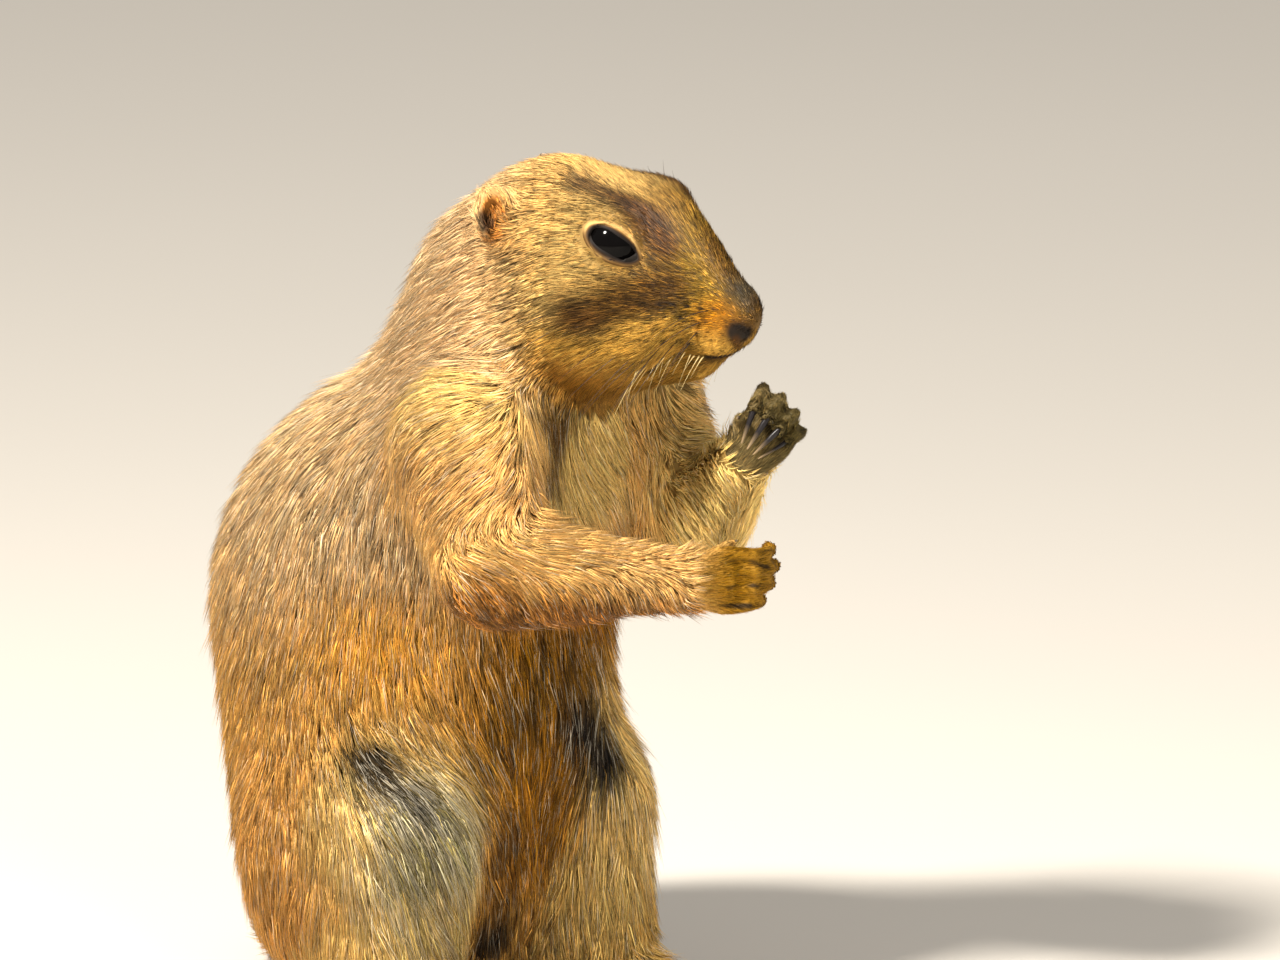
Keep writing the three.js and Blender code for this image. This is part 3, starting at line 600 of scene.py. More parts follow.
def surface(name, roughness, change, colour=None, scale=420.0, specular=0.2):
    """A mottled surface of one colour or, without one, of the colours at a piece's corners."""
    material = bpy.data.materials.new(name)
    material.use_nodes = True
    tree = material.node_tree
    shader = tree.nodes["Principled BSDF"]
    uneven = tree.nodes.new("ShaderNodeGroup")
    uneven.node_tree = mottle
    for socket, value in (("Scale", scale), ("Darkest", 1 - change), ("Lightest", 1 + change)):
        uneven.inputs[socket].default_value = value
    if colour is None:
        tint = tree.nodes.new("ShaderNodeAttribute")
        tint.attribute_name = "tint"
        tree.links.new(tint.outputs["Color"], uneven.inputs["Colour"])
    else:
        uneven.inputs["Colour"].default_value = (*colour, 1)
    tree.links.new(uneven.outputs["Colour"], shader.inputs["Base Color"])
    shader.inputs["Roughness"].default_value = roughness
    shader.inputs["Specular IOR Level"].default_value = specular
    return material


hide = surface("hide", roughness=0.7, change=0.2)
# The skin is darker where the coat over it is thick: partly the underfur's own colour, partly painted shade
# deep in the coat.
under_fur = 0.85 - 0.4 * rise(depth, 0.25, 1.0)
colour_corners(skin, coat_tint(skin_points, skin_group) * under_fur[:, None])
skin.data.materials.append(hide)
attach(skin, "root")
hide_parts(*FLESH)


def pale_share(points, group):
    """The share of white-tipped hairs at places: most on the back, the knees and the shins."""
    share = 0.1 + 0.16 * (1 - rise(-points[:, 1], 20, 44)) * rise(points[:, 2], 60, 90)
    share = np.maximum(share, 0.5 * blob(folded(points), (34, -40, 40), (14, 16, 24), 0.5))
    return np.where(of_kind(group, "head", "ear", "hand"), 0, share)


def dark_share(points, group):
    """The share of dark hairs at places: most on the cheek, the brow and the belly."""
    face = folded(to_head(points))
    share = 0.09 + 0.1 * rise(-points[:, 1], 30, 48) * rise(-points[:, 2], -96, -70)
    grizzled = np.maximum(streak(face, CHEEK_PATCH, 6, 0.6), streak(face, BROW_STRIPE, 5, 0.6))
    return share + of_kind(group, "head") * (0.08 + 0.36 * grizzled)


# The lie of the coat

# Hair runs from the nose back over the crown, down the neck and back, off the chest to both
# sides of a parting, along the arms with a fringe under them, and down the legs.

# Each guide is a place and the way that hair points there. Those of the head are in the head's
# own frame, and those of the head and the body have their like on the other side. The routes of
# the arms run from the elbow by the wrist to the fingers.
RIGHT_ARM = [(-37, -60, 102), (-8, -90, 102), (-1, -105, 104)]
LEFT_ARM = [(35, -54, 100), (15.4, -85.9, 123.9), (20.1, -93.3, 134.9)]
TAIL_ROUTE = [(2, 22, 10), (10, 35, 9), (22, 43, 8), (38, 45, 7.6), (56, 38, 7.2), (70, 25, 6.4)]
HEAD_LIE = [
    (0, -23, -6, 0, 0.75, 0.66), (1.7, -14, 8.4, 0.1, 0.75, 0.6), (11, -15, -4.7, 0.6, 0.78, 0.1),
    (12.7, -9, 5.9, 0.45, 0.7, 0.5), (10.8, -3.9, 15.9, 0.3, 0.9, 0.3), (2, 7.5, 20.2, 0.05, 1, 0),
    (16.5, 16.4, 15.5, 0.3, 0.92, -0.2), (21, 14.8, 8, 0.15, 0.95, -0.25),
    (21.4, 1.2, -1.7, 0.15, 0.97, -0.12), (23, 0.6, -14.2, 0.15, 0.93, -0.3),
    (19.8, -7.1, -12.1, 0.5, 0.85, -0.09), (9.6, -7.9, -20.6, 0.5, 0.8, -0.1),
    (16, 12, -24, -0.1, 0.85, -0.5), (21, 23.7, -5.5, -0.1, 0.88, -0.46),
    (21.3, 23.6, 3.1, -0.1, 0.85, -0.5), (10, 43, -0.6, -0.1, 0.6, -0.75),
    (15.6, 41.3, -14.4, -0.1, 0.7, -0.65), (3, -22, -14, 0.8, 0.5, -0.3), (0, -12, -24, 0, 0.9, -0.4),
    (3, 8, -30, 0.2, 0.4, -0.88), (0, 35, 12, 0, 0.8, -0.6)]
BODY_LIE = [
    (29, -9, 124, 0.35, 0.35, -0.82), (26, 20, 103, 0.25, 0.15, -0.95), (3, 38, 100, 0.05, 0.15, -0.98),
    (3, 44, 60, 0.05, 0.15, -0.98), (27, 24, 74, 0.1, 0.25, -0.95), (36, -21, 101, 0.09, 0, -1),
    (37, -16, 75, 0, 0.07, -1), (38, -30, 60, 0.05, -0.4, -0.9), (39, -45, 139, 0.5, 0.66, -0.55),
    (41, -58, 126, 0.6, 0.5, -0.6), (46, -56, 116, 0.42, 0.35, -0.84), (46, -65, 109, 0.4, 0.02, -0.9),
    (45, -69, 101, 0.05, -0.2, -0.97), (41, -11, 58, 0.25, -0.5, -0.8),
    (47, -8, 39, 0.15, -0.25, -0.95), (30, 10, 25, 0.2, -0.1, -0.97), (16, -50, 82, 0.04, 0, -1)]
RIGHT_LIE = [
    (-38, -30, 58, -0.1, -0.85, -0.5), (-38, -36, 55, 0.05, -0.85, -0.6),
    (-31, -44, 52, 0.25, -0.5, -0.8), (-40, -43, 40, 0.25, -0.1, -0.95),
    (-45, -22, 50, -0.1, -0.6, -0.8), (-46, -20, 30, 0.1, 0, -1), (-13, -42, 38, 0.5, 0.1, -0.85),
    (-28, -39, 64, 0.25, -0.2, -0.95)]
LEFT_LIE = [
    (5, -51, 60, -0.6, -0.1, -0.75), (12, -52, 54, -0.25, -0.3, -0.9), (20, -53, 56, 0.55, -0.3, -0.75),
    (19, -54, 45, 0.12, -0.15, -0.98), (11, -50, 35, 0, -0.05, -1), (30, -40, 45, 0.6, 0, -0.8),
    (1, -47, 46, -0.2, 0.2, -0.95), (35, -20, 40, 0.3, 0.1, -0.95)]
CHEST_LIE = [
    (-12, -54, 131, -0.35, 0.05, -0.93), (-10, -53, 110, 0, 0, -1), (1, -58, 123, 0.7, 0, -0.7),
    (10, -55, 111, 0.6, 0.1, -0.78), (18, -52, 120, 0.7, 0.2, -0.66), (0, -60, 134, 0.35, 0, -0.93),
    (9, -51, 68, -0.08, 0.05, -1), (0, -52, 90, 0, 0, -1), (-5, -44, 30, 0, 0.1, -1)]
LIE_REACH = 20
LIE_ROUNDS = 6
STRIDE = 2.0


def from_head(place, turn_only=False):
    """A place or a direction of the head's frame in the row frame."""
    c, s = math.cos(HEAD_TURN), math.sin(HEAD_TURN)
    place = np.asarray(place, dtype=float)
    out = np.array([c * place[0] - s * place[1], s * place[0] + c * place[1], place[2]])
    return out if turn_only else out + HEAD_PLACE


def along_route(points, route):
    """For each place the direction of the nearest stretch of a route."""
    route = np.array(route, dtype=float)
    far = [stretch_gap(points, a, b) for a, b in zip(route[:-1], route[1:])]
    return unit(np.diff(route, axis=0))[np.argmin(far, axis=0)]


def both_sides(guides):
    """Guides on the left, each with its like on the right."""
    return [np.array(guide) * [s, 1, 1, s, 1, 1] for guide in guides for s in (1, -1)]


guides = [np.append(from_head(g[:3]), from_head(g[3:], True)) for g in both_sides(HEAD_LIE)]
guides = np.array(guides + both_sides(BODY_LIE) + CHEST_LIE + RIGHT_LIE + LEFT_LIE)
lie = np.zeros_like(skin_points)
for guide in guides:
    far = ((skin_points - guide[:3]) ** 2).sum(axis=1)
    lie += unit(guide[3:]) / (far[:, None] + LIE_REACH) ** 2
lie = unit(lie)
down = np.array([0, 0, -1.0])
for arm, sign in ((RIGHT_ARM, -1), (LEFT_ARM, 1)):
    forearm = is_kind["forearm"] & ((skin_points[:, 0] - 4) * sign > 0)
    under = rise(-skin_normals[forearm, 2], -0.5, 0.6)[:, None]
    way = along_route(skin_points[forearm], arm)
    lie[forearm] = unit(way * (1 - 0.75 * under) + down * (0.25 + 0.65 * under))
    palm = is_kind["hand"] & ((skin_points[:, 0] - 8) * sign > 0)
    wrist, fingers = np.array(arm[1:])
    lie[palm] = unit(skin_points[palm] - wrist + unit(fingers - wrist) * 6)
lie[is_kind["tail"]] = along_route(skin_points[is_kind["tail"]], TAIL_ROUTE)
lie[is_kind["foot"]] = unit(np.array([0, -1, -0.15]))
ear_side = np.sign(in_head[is_kind["ear"], 0])[:, None]
ear_out, ear_back = from_head((0.15, 0, 0), True), from_head((0, 0.45, 0.85), True)
lie[is_kind["ear"]] = unit(ear_side * ear_out + ear_back)
for _ in range(LIE_ROUNDS):
    lie = spread(lie, skin_edges, 2)
    lie = unit(lie - skin_normals * (lie * skin_normals).sum(axis=1, keepdims=True))

# From every corner of the skin, the place one stride on along the lie and the corner next to it.
skin_tree = BVHTree.FromPolygons(skin_points.tolist(), skin_corners.tolist())
stride, hop = np.zeros_like(skin_points), np.arange(len(skin_points))
for i, aim in enumerate((skin_points + lie * STRIDE).tolist()):
    stride[i], _, hop[i], _ = skin_tree.find_nearest(aim)
three = skin_corners[hop]
gaps = np.linalg.norm(skin_points[three] - stride[:, None], axis=2)
hop = three[np.arange(len(three)), gaps.argmin(axis=1)]
stride -= skin_points


# The coat on the body

# Straight guard hair over soft underfur, mostly 5 to 12 mm long on the body, lying back in flat
# overlapping locks. Each tuft is a thin closed spindle bedded in the skin.
HAIR_WIDTH = 0.22
GUARD_SHARE = 0.12
GUARD_LENGTH = 1.35
LENGTH_RANGE = (0.72, 1.22)
WIDTH_RANGE = (0.75, 1.25)
LIFT_RANGE = (0.6, 1.2)
BEND = 0.36
BEND_LIFT = 0.55
BEND_STRAY = 0.3
BEND_PULL = 0.45
ROOT_DEPTH = 0.35
FLOOR_GAP = 0.2
COLOUR_PLACE = 0.6
CONTRAST = 0.52
LOCK_CONTRAST = 0.3
# The dark roots and paler tips are partly the hairs' own banding, and partly painted shade deep in the coat.
ROOT_SHADE = np.array([0.4, 0.36, 0.32])
TIP_GAIN = 1.5
BRIGHTEST = 0.88
PATCH = 0.0015
PHOTO_SIDE = np.array([-0.749, -0.629, 0.208])
SPINDLE = {
    "corners": [[0, 2, 1], [0, 1, 3], [0, 3, 2], [4, 1, 2], [4, 3, 1], [4, 2, 3]],
    "patch": [[0, -1], [-1, 0], [1, 0], [0, 0], [0, 1]]}
SPIKE = {
    "corners": [[0, 1, 2], [3, 0, 1], [3, 2, 0], [3, 1, 2]],
    "patch": [[-1, -1], [1, -1], [0, -0.5], [0, 1]]}
# Of each lock: its number of hairs, their pull towards its middle, and its reach in mm.
BODY_LOCKS = (13, 0.62, 2.2)
NECK_LOCKS = (13, 0.45, 2.2)
SHAGGY = [((-38, -36, 54), (14, 16, 12)), ((8, -52, 58), (12, 10, 12)), ((-14, -56, 128), (14, 12, 14)),
          ((-44, -64, 104), (12, 14, 7)), ((-34, -44, 34), (14, 12, 24)), ((16, -50, 36), (14, 12, 26))]

face_area = np.linalg.norm(np.cross(
    skin_points[skin_corners[:, 1]] - skin_points[skin_corners[:, 0]],
    skin_points[skin_corners[:, 2]] - skin_points[skin_corners[:, 0]]), axis=1) / 2
face_kind = skin_group[skin_corners[:, 0]]
face_middle = skin_points[skin_corners].mean(axis=1)
face_depth = depth[skin_corners].mean(axis=1)
seen = 0.75 + 0.5 * rise(skin_normals[skin_corners].mean(axis=1) @ PHOTO_SIDE, -0.4, 0.3)
shaggy = np.max([blob(face_middle, place, size, 0.6) for place, size in SHAGGY], axis=0)


def roots(wanted, weight, number):
    """Faces and shares of their corners for a number of tufts, spread by area and weight."""
    worth = np.where(wanted, face_area * weight, 0)
    total = np.cumsum(worth)
    picks = (np.arange(number) + rng.random(number)) * total[-1] / number
    faces = np.minimum(np.searchsorted(total, picks), len(worth) - 1)
    a, b = rng.random(number), rng.random(number)
    flip = a + b > 1
    a[flip], b[flip] = 1 - a[flip], 1 - b[flip]
    return faces, np.stack([1 - a - b, a, b], axis=1)


def blend(values, shares):
    """Values of three corners at places between them."""
    return (values * shares[:, :, None]).sum(axis=1)


def walk(faces, shares, lengths):
    """Places on the skin, and the skin's normals there, at lengths along the lie from each root."""
    corners = skin_corners[faces]
    at = [blend(skin_points[corners], shares)]
    facing = [unit(blend(skin_normals[corners], shares))]
    near = skin_corners[faces, shares.argmax(axis=1)]
    steps = int(math.ceil(max(reach.max() for reach in lengths) / STRIDE)) + 1
    for _ in range(steps):
        at.append(at[-1] + stride[near])
        near = hop[near]
        facing.append(skin_normals[near])
    at, facing, n = np.stack(at), np.stack(facing), np.arange(len(faces))
    out = []
    for reach in lengths:
        k = np.minimum((reach / STRIDE).astype(int), steps - 1)
        t = (reach / STRIDE - k)[:, None]
        out.append((at[k, n] * (1 - t) + at[k + 1, n] * t,
                    unit(facing[k, n] * (1 - t) + facing[k + 1, n] * t)))
    return out


def lock_middles(points, number):
    """For each place the nearest of some of them picked as the middles of locks."""
    picks = rng.choice(len(points), number, replace=False)
    tree = KDTree(number)
    for n, p in enumerate(points[picks].tolist()):
        tree.insert(p, n)
    tree.balance()
    return picks[np.array([tree.find(p)[1] for p in points.tolist()])]


def within_reach(colour):
    """Colours dimmed as a whole where one part would pass what a hair can send back."""
    return colour / np.maximum(colour.max(axis=1, keepdims=True) / BRIGHTEST, 1)


def tuft_colours(points, group):
    """Colours at the root, the middle and the tip of each tuft."""
    number = len(points)
    tint = coat_tint(points, group)
    light = np.exp(rng.normal(0.02, CONTRAST, number))[:, None]
    warm = rng.normal(0, 0.06, number)[:, None] * np.array([1, -0.1, -1.0])
    middle = tint * light * (1 + warm)
    tip = middle * TIP_GAIN
    lot = rng.random(number)
    white = lot < pale_share(points, group)
    black = lot > 1 - dark_share(points, group)
    tip[white] = tip[white] * 0.3 + WHITE * 0.62
    middle[white] = middle[white] * 0.7 + WHITE * 0.25
    middle[black] *= 0.36
    tip[black] *= 0.28
    return tint * ROOT_SHADE, middle, tip


def raise_coat(name, faces, shares, length, width, lift, locks, stray, guard, form):
    """Grows one piece of the coat: a closed spindle or spike at each root, along the lie.

    Length, width and lift off the skin are in mm, and so is the guard hairs' further lift. The
    stray is how far a tip wanders sideways, as a share of the length.
    """
    number = len(faces)
    long = length * rng.uniform(*LENGTH_RANGE, number)
    outer = rng.random(number) < GUARD_SHARE
    long[outer] *= GUARD_LENGTH
    (p0, n0), (p1, n1), (p2, n2) = walk(faces, shares, [np.zeros(number), BEND * long, long])
    sway = unit(np.cross(n1, p2 - p0)) * rng.normal(0, 1, number)[:, None] * long[:, None] * stray
    p2 = p2 + sway
    high = lift * rng.uniform(*LIFT_RANGE, number) + outer * guard
    mid = p1 + sway * BEND_STRAY + n1 * (high * BEND_LIFT)[:, None]
    tip = p2 + n2 * high[:, None]
    lock = np.ones((number, 1))
    if locks:
        hairs, pull, reach = locks
        lead = lock_middles(p0, max(8, number // hairs))
        lock = np.exp(rng.normal(0, LOCK_CONTRAST, number))[lead][:, None]
        near = np.exp(-(np.linalg.norm(p0 - p0[lead], axis=1) / reach) ** 2)[:, None]
        tip += (tip[lead] - tip) * pull * near
        mid += (mid[lead] - mid) * pull * BEND_PULL * near
    root = p0 - n0 * ROOT_DEPTH
    side = unit(np.cross(n1, tip - root))
    out = unit(np.cross(tip - root, side))
    wide = (width * rng.uniform(*WIDTH_RANGE, number))[:, None]
    c0, c1, c2 = tuft_colours(p0 + (p2 - p0) * COLOUR_PLACE, face_kind[faces])
    c1, c2 = within_reach(c1 * lock), within_reach(c2 * lock)
    if form is SPINDLE:
        points = [root, mid + side * wide / 2, mid - side * wide / 2, mid + out * wide * 0.42, tip]
        colours = [c0, c1, c1, c1, c2]
    else:
        base = root + n0 * 0.1
        points = [base + side * wide / 2, base - side * wide / 2, base + out * wide * 0.5, tip]
        # The spikes' bases are darker than their tips: partly the hairs' own darker bases, partly painted
        # shade deep in the short coat.
        colours = [c1 * 0.55, c1 * 0.55, c1 * 0.65, c2]
    points = np.stack(points, axis=1)
    points[:, :, 2] = np.maximum(points[:, :, 2], FLOOR_GAP)
    many = len(colours)
    tufts = (np.arange(number)[:, None, None] * many + form["corners"]).reshape(-1, 3)
    piece = make_mesh(name, points.reshape(-1, 3), tufts)
    colour_corners(piece, np.stack(colours, axis=1).reshape(-1, 3))
    place = blend(skin_uv[faces], shares)[:, None] + np.array(form["patch"]) * PATCH
    place = place.reshape(-1, 2)[tufts.reshape(-1)]
    layer = piece.data.uv_layers.new(name="OFBake")
    layer.data.foreach_set("uv", np.ascontiguousarray(place, dtype=np.float32).reshape(-1))
    piece.data.materials.append(fur)
    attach(piece, "root")


rng = np.random.default_rng(7)
fur = surface("fur", roughness=0.55, change=0.25)
torso, tail = of_kind(face_kind, "torso"), of_kind(face_kind, "tail")
arm, leg = of_kind(face_kind, "upper_arm", "forearm"), of_kind(face_kind, "thigh", "shin")
behind = face_middle[:, 1] > -8
left, arm_left = face_middle[:, 0] > 0, face_middle[:, 0] > 4
# Each piece of the coat: the faces that it grows on, its number of tufts and their length.
REGIONS = {
    "coat_back_left": (torso & behind & left, 17500, 8.5),
    "coat_back_right": (torso & behind & ~left, 26500, 8.5),
    "coat_front": (torso & ~behind, 33000, 8.5),
    "coat_neck": (of_kind(face_kind, "neck"), 22500, 6.8),
    "coat_arm_left": (arm & arm_left, 12500, 7.5),
    "coat_arm_right": (arm & ~arm_left, 23000, 7.5),
    "coat_leg_left": (leg & left, 15500, 9.0),
    "coat_leg_right": (leg & ~left, 24500, 9.0),
    "coat_tail": (tail, 9000, 11.0)}
for name, (wanted, number, reach) in REGIONS.items():
    faces, shares = roots(wanted, seen, number)
    if name.startswith("coat_arm"):
        reach = reach * (1 - 0.4 * rise(-face_middle[faces, 1], 66, 84))
    longer = shaggy[faces]
    raise_coat(name, faces, shares, length=reach * (1 + 0.4 * longer), width=HAIR_WIDTH + 0.03 * longer,
               lift=face_depth[faces], locks=NECK_LOCKS if name == "coat_neck" else BODY_LOCKS,
               stray=0.16, guard=1.6, form=SPINDLE)


# The coat on the head

# Short close hair, under 1 mm long on the nose and round the eyes and up to 8 mm on the nape. The
# insides of the ears, the rims of the lids and the nostrils are bare.
HEAD_TUFTS, FACE_TUFTS = 14000, 49500
HEAD_LOCKS, FACE_LOCKS = (12, 0.5, 1.6), (9, 0.45, 1.0)
face_in_head = to_head(face_middle)
half = folded(face_in_head)
lid_far = lid_gap(half)
bare = (lid_far < 1.1) | (ear_hollow(half) < 0.9) | (streak(half, NOSTRIL, 1.2, 0.2) > 0.5)
hairy = of_kind(face_kind, "head", "ear") & ~bare
hind = hairy & (face_in_head[:, 1] > 12)
faces, shares = roots(hind, seen, HEAD_TUFTS)
reach = 3.2 + 4.2 * rise(face_in_head[faces, 1] - 0.3 * face_in_head[faces, 2], 14, 36)
reach[of_kind(face_kind[faces], "ear")] = 2.0
raise_coat("coat_head", faces, shares, length=reach, width=0.2, lift=face_depth[faces] * 0.95,
           locks=HEAD_LOCKS, stray=0.12, guard=0.8, form=SPINDLE)
faces, shares = roots(hairy & ~hind, seen ** 2, FACE_TUFTS)
near_lid = 0.4 + 0.6 * rise(lid_far[faces], 1, 7)
near_nose = 0.5 + 0.5 * rise(face_in_head[faces, 1], -23, -8)
raise_coat("coat_face", faces, shares, length=3.2 * near_lid * near_nose, width=0.19,
           lift=np.maximum(face_depth[faces] * 0.95, 0.3), locks=FACE_LOCKS,
           stray=0.16, guard=0.5, form=SPIKE)


# The coat on the paws

# Very short hair lying flat over the backs of the hands, the fingers and the feet.
PAW_TUFTS = 14000
PAW_LENGTH = 2.3
for name, part in (("coat_hands", "hand"), ("coat_feet", "foot")):
    faces, shares = roots(of_kind(face_kind, part), seen, PAW_TUFTS)
    raise_coat(name, faces, shares, length=PAW_LENGTH, width=0.19,
               lift=np.maximum(face_depth[faces] * 0.9, 0.2), locks=None,
               stray=0.06, guard=0.1, form=SPIKE)


# The eyes

# Two dark glossy eyes, each a smooth ball in its socket behind the lids.
EYE_RADIUS = 5.9
SIDES = (("left", 1), ("right", -1))
eye_dark = surface("eye_dark", roughness=0.09, change=0.3, colour=paint(6, 5, 5), scale=200.0, specular=0.08)
for name, s in SIDES:
    bpy.ops.mesh.primitive_uv_sphere_add(segments=64, ring_count=32, radius=EYE_RADIUS * MM)
    ball = bpy.context.active_object
    ball.name = "eyeball_" + name
    ball.location = Vector(from_head(EYE_PLACE * [s, 1, 1]) * MM)
    ball.data.shade_smooth()
    ball.data.materials.append(eye_dark)
    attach(ball, "root")
    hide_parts("eye_" + name)


# The lids

# The lids' moist dark edge, drawn out to a point in front, with a pale fold over the eye and a
# tan one under it. Each is one ring of skin that lies on the ball inside and on the face outside.
# A row has its way out from the opening, its height in mm, and its colours over and under the eye.
LID_ROWS = [
    (-1.1, -0.3, (14, 11, 9), (14, 11, 9)), (-0.8, 0.1, (18, 13, 10), (18, 13, 10)),
    (-0.45, 0.26, (22, 16, 12), (22, 16, 12)), (-0.1, 0.28, (40, 27, 16), (44, 30, 17)),
    (0.2, 0.2, (108, 80, 42), (70, 50, 25)), (0.45, 0.22, (178, 142, 86), (96, 70, 34)),
    (0.75, 0.14, (184, 146, 88), (88, 62, 28)), (1.05, -0.05, (156, 118, 64), (66, 45, 19)),
    (1.4, -0.45, (140, 104, 54), (92, 66, 30))]
ON_THE_FACE = -0.6
FOLD_SMOOTHING = 5


def eye_point(flat, out):
    """Places in the left eye's own plane and heights over its middle, in the head's frame."""
    return EYE_PLACE + flat @ np.array([EYE_FRONT, EYE_UP]) + out[:, None] * EYE_FACING


def skin_height(flat, s):
    """How far the face stands out over the eye's middle at places of its plane."""
    out = np.zeros(len(flat))
    aim = Vector(from_head(-EYE_FACING * [s, 1, 1], True))
    for i, p in enumerate(eye_point(flat, np.full(len(flat), EYE_REACH))):
        hit = skin_tree.ray_cast(Vector(from_head(p * [s, 1, 1])), aim)
        out[i] = EYE_REACH - hit[3] if hit[0] is not None else 0
    return out


def ring_faces(rings, around, closed):
    """The triangles between rings of corners, and from the last ring to the first if closed."""
    corners = []
    for i in range(rings if closed else rings - 1):
        j = (i + 1) % rings
        for k in range(around):
            m = (k + 1) % around
            a, b, c, d = i * around + k, i * around + m, j * around + m, j * around + k
            corners += [(a, b, c), (a, c, d)]
    return corners


lid_reach = np.linalg.norm(lid_line, axis=1, keepdims=True)
over_eye = rise(lid_line[:, 1] + 0.5, -0.6, 1.6)[:, None]
in_front = rise(lid_line[:, 0], 2.5, 6)[:, None]
for name, s in SIDES:
    points, colours = [], []
    for gap, high, top, foot in LID_ROWS:
        flat = lid_line * (1 + gap / lid_reach)
        base = np.sqrt(np.maximum(EYE_RADIUS ** 2 - (flat ** 2).sum(axis=1), 0.01))
        if gap > ON_THE_FACE:
            base = np.maximum(base, skin_height(flat, s))
            for _ in range(FOLD_SMOOTHING):
                base = (np.roll(base, 1) + base * 2 + np.roll(base, -1)) / 4
        points += [from_head(p * [s, 1, 1]) for p in eye_point(flat, base + high)]
        colour = paint(*foot) * (1 - over_eye) + paint(*top) * over_eye
        colours.append(colour * (1 - 0.45 * in_front * (gap > 0.4)))
    corners = np.array(ring_faces(len(LID_ROWS), len(lid_line), True))
    lids = make_mesh("lids_" + name, np.array(points), corners if s > 0 else corners[:, ::-1])
    colour_corners(lids, np.concatenate(colours))
    lids.data.materials.append(hide)
    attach(lids, "root")


# The whiskers

# Stiff tapering hairs: dark ones in rows on the muzzle, over the eye and two on the cheek, and
# pale ones along the upper lip. Lengths and radii are in mm.
WHISKER_STEPS = 8
WHISKER_SIDES = 4
WHISKER_BED = 0.4
PALE_WHISKERS = 16
LEFT_BROW_LENGTH = 0.6
DARK_RADIUS, PALE_RADIUS, BROW_RADIUS = 0.11, 0.09, 0.075
ROOT_SWELL, ROOT_SWELL_LENGTH = 0.16, 1.3
ROW_SAG, BROW_SAG, CHEEK_SAG = 0.55, -0.1, 0.12
BROW_WHISKERS = [
    ((12.9, -1.5, 17), (0.4, 0.3, 0.85), 7), ((13.5, -4, 15.5), (0.5, 0.5, 0.7), 5.5),
    ((12, 1, 18), (0.3, 0.6, 0.7), 5)]
CHEEK_WHISKERS = [
    ((23.7, 8.2, -9.5), (0.25, 0.8, -0.45), 17, 0.09), ((23.2, 11, -7.5), (0.3, 0.85, -0.3), 12, 0.08)]


def whisker(root, way, length, sag, radius, s):
    """One bent hair as a closed tapering tube from the skin, thicker at its dark root."""
    foot, lean, _, _ = skin_tree.find_nearest(Vector(from_head(np.array(root) * [s, 1, 1])))
    foot = np.array(foot) - np.array(lean) * WHISKER_BED
    way = unit(from_head(np.array(way) * [s, 1, 1], True))
    t = np.linspace(0, 1, WHISKER_STEPS + 1)[:, None]
    fall = from_head(np.array([-0.2 * s, 0.35, -0.9]), True)
    route = foot + way * length * t + fall * sag * length * t ** 2
    along = unit(np.gradient(route, axis=0))
    across = unit(np.cross(along, np.array([0.3, 0.2, 0.9])))
    other = np.cross(along, across)
    turn = (np.arange(WHISKER_SIDES) / WHISKER_SIDES * 2 * math.pi)[:, None]
    thick = radius * (1 - 0.8 * t) + ROOT_SWELL * np.exp(-(t * length / ROOT_SWELL_LENGTH) ** 2)
    round_it = across[:, None] * np.cos(turn) + other[:, None] * np.sin(turn)
    rings = route[:, None] + thick[:, :, None] * round_it
    last = WHISKER_STEPS * WHISKER_SIDES
    ends = [(0, 2, 1), (0, 3, 2), (last, last + 1, last + 2), (last, last + 2, last + 3)]
    corners = ring_faces(WHISKER_STEPS + 1, WHISKER_SIDES, False) + ends
    return rings.reshape(-1, 3), np.array(corners)


whisker_dark = surface("whisker_dark", roughness=0.4, change=0.3, colour=paint(46, 32, 20),
                       scale=900.0, specular=0.5)
whisker_pale = surface("whisker_pale", roughness=0.4, change=0.2, colour=paint(226, 202, 140),
                       scale=900.0, specular=0.5)
for name, s in SIDES:
    dark, pale = [], []
    for row, (y, z) in enumerate(WHISKER_ROWS):
        for k in range(WHISKERS_IN_ROW):
            root = (9.5 + 0.7 * k, y + NEXT_BACK * k, z + NEXT_UP * k)
            way = np.array([0.8, 0.5 + 0.12 * k, 0.05 - 0.25 * row]) + rng.normal(0, 0.14, 3)
            dark.append(whisker(root, way, 9 + 2 * k + 6 * rng.random(), ROW_SAG, DARK_RADIUS, s))
    for k in range(PALE_WHISKERS):
        root = (6 + 0.5 * k, -16.5 + 0.9 * k, -16.5 - 1.5 * rng.random())
        way = np.array([0.5, 0.35, -0.6]) + rng.normal(0, 0.2, 3)
        long, sag = 3.5 + 7 * rng.random() ** 2, 0.5 + 0.3 * rng.random()
        pale.append(whisker(root, way, long, sag, PALE_RADIUS, s))
    for root, way, length in BROW_WHISKERS:
        length = length * (1 if s < 0 else LEFT_BROW_LENGTH)
        dark.append(whisker(root, way, length, BROW_SAG, BROW_RADIUS, s))
    for root, way, length, radius in CHEEK_WHISKERS:
        dark.append(whisker(root, way, length, CHEEK_SAG, radius, s))
    for tone, hairs, material in (("dark_", dark, whisker_dark), ("pale_", pale, whisker_pale)):
        piece = make_mesh("whiskers_" + tone + name, *joined(hairs))
        piece.data.materials.append(material)
        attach(piece, "root")


# The claws

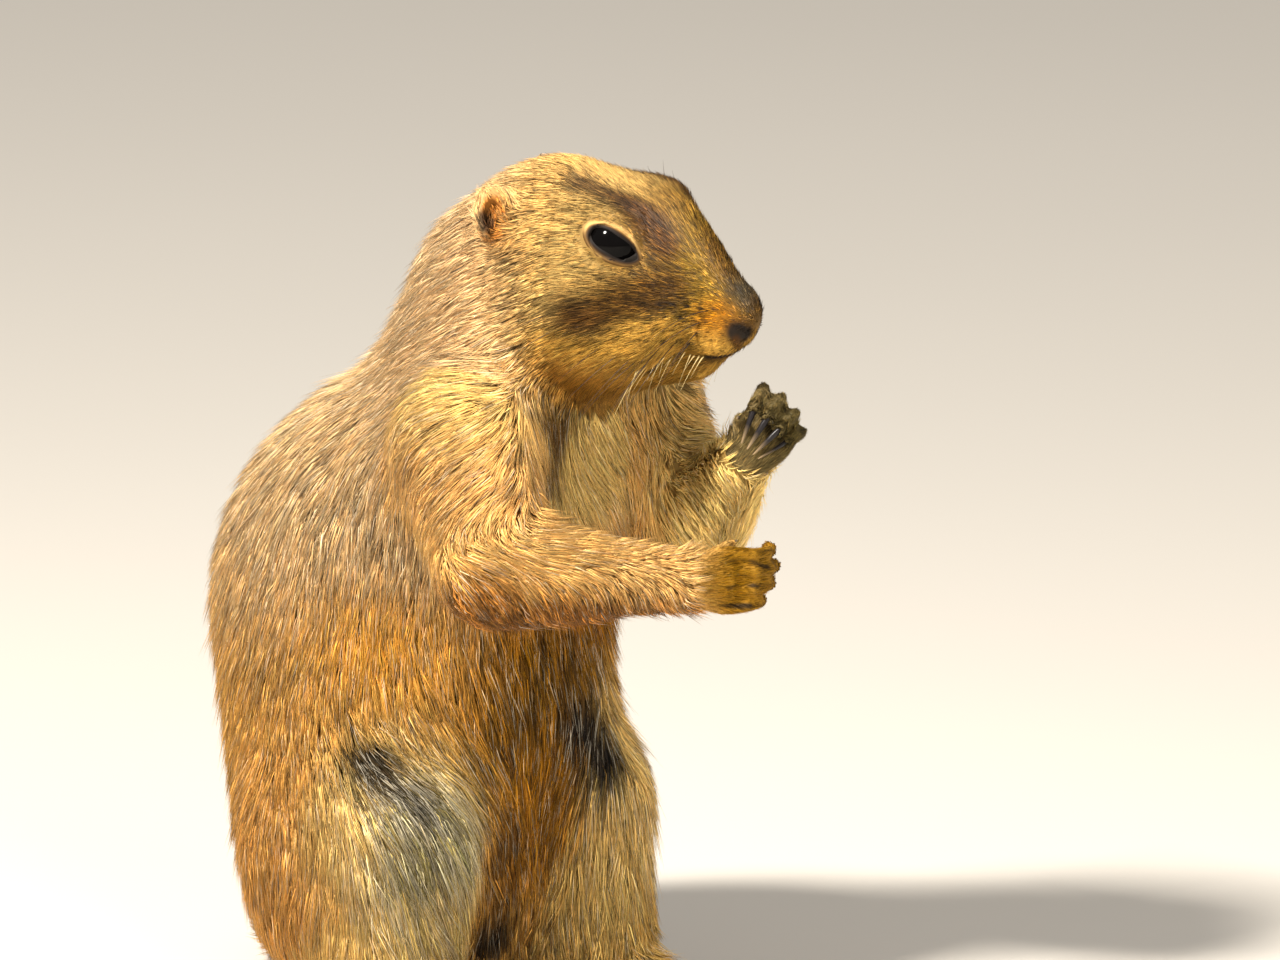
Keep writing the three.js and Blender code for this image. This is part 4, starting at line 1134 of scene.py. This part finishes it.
# Long dark curved claws with paler tips, one at the end of each finger and toe.
CLAW_ROOT = paint(30, 27, 28)
CLAW_END = paint(132, 112, 84)
horn = surface("horn", roughness=0.28, change=0.15)
for paw in ("hand_left", "hand_right", "foot_left", "foot_right"):
    names = sorted(n for n in nodes if n.startswith("claw_" + paw))
    shapes = [read_node(name) for name in names]
    colours = []
    for p, _ in shapes:
        middle = p.mean(axis=0)
        t = (p - middle) @ np.linalg.svd(p - middle)[2][0]
        t = (t - t.min()) / (t.max() - t.min())
        first, last = (np.ptp(p[end], axis=0).max() if end.any() else 0 for end in (t < 0.2, t > 0.8))
        t = t if last < first else 1 - t
        colours.append(CLAW_ROOT + (CLAW_END - CLAW_ROOT) * rise(t, 0.55, 1.0)[:, None])
    claws = make_mesh("claws_" + paw, *joined(shapes))
    colour_corners(claws, np.concatenate(colours))
    rounding = claws.modifiers.new("rounding", "SUBSURF")
    rounding.levels = 2
    settle(claws)
    claws.data.shade_smooth()
    claws.data.materials.append(horn)
    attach(claws, "root")
    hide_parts(*names)


# The floor

# A pale plain floor, a hair's breadth under the feet so that the two don't share a plane.
FLOOR_SIZE = 12
FLOOR_DROP = 0.0002
bpy.ops.mesh.primitive_plane_add(size=FLOOR_SIZE, location=(0, 0, -FLOOR_DROP))
floor = bpy.context.active_object
floor.name = "floor"
floor.data.materials.append(surface("floor_grey", roughness=0.9, change=0.02,
                                    colour=paint(205, 200, 192), scale=3.0, specular=0.5))


# The light and the view

# Soft studio light: a warm key from the upper left, a wide faint fill from the right, and an
# even sky. The view is the photo's, from the animal's right and a little above, from far away.
VIEW_TURN = math.radians(-50)
VIEW_RISE = math.radians(12)
VIEW_DISTANCE = 8.0
PIXEL = 0.21 * MM
VIEW_WIDTH = 1280 * PIXEL
PICTURE_MIDDLE = (0.0535, 0.1072)
SENSOR_WIDTH = 36
SKY_COLOUR, SKY_STRENGTH = (0.85, 0.82, 0.78, 1), 0.5
right = Vector((math.cos(VIEW_TURN), math.sin(VIEW_TURN), 0))
toward = Vector((math.sin(VIEW_TURN) * math.cos(VIEW_RISE), -math.cos(VIEW_TURN) * math.cos(VIEW_RISE),
                 math.sin(VIEW_RISE)))
up = toward.cross(right)
aim = right * PICTURE_MIDDLE[0] + up * PICTURE_MIDDLE[1]


def lamp(name, way, size, power, colour):
    """A square soft light aimed at the picture's middle: its way from there, and its size, in metres."""
    light = bpy.data.lights.new(name, "AREA")
    light.size = size
    light.energy = power
    light.color = colour
    thing = bpy.data.objects.new(name, light)
    thing.location = aim + way
    thing.rotation_euler = (-way).to_track_quat("-Z", "Y").to_euler()
    bpy.context.scene.collection.objects.link(thing)
    return thing


key_way = right * -0.62 + up * 0.78 + toward * 0.82
fill_way = right * 0.5 + up * 0.15 + toward * 1.15
lamp("key", key_way, size=0.16, power=42, colour=(1.0, 0.94, 0.85))
fill = lamp("fill", fill_way, size=0.7, power=13, colour=(1.0, 0.96, 0.9))
fill.visible_glossy = False
world = bpy.data.worlds.new("studio")
bpy.context.scene.world = world
world.use_nodes = True
sky = world.node_tree.nodes["Background"]
sky.inputs["Color"].default_value = SKY_COLOUR
sky.inputs["Strength"].default_value = SKY_STRENGTH

camera = bpy.data.objects.new("camera", bpy.data.cameras.new("camera"))
bpy.context.scene.collection.objects.link(camera)
camera.location = aim + toward * VIEW_DISTANCE
camera.rotation_euler = Matrix((right, up, toward)).transposed().to_euler()
camera.data.sensor_width = SENSOR_WIDTH
camera.data.lens = SENSOR_WIDTH * VIEW_DISTANCE / VIEW_WIDTH
bpy.context.scene.camera = camera
bpy.context.scene.view_settings.view_transform = "Standard"
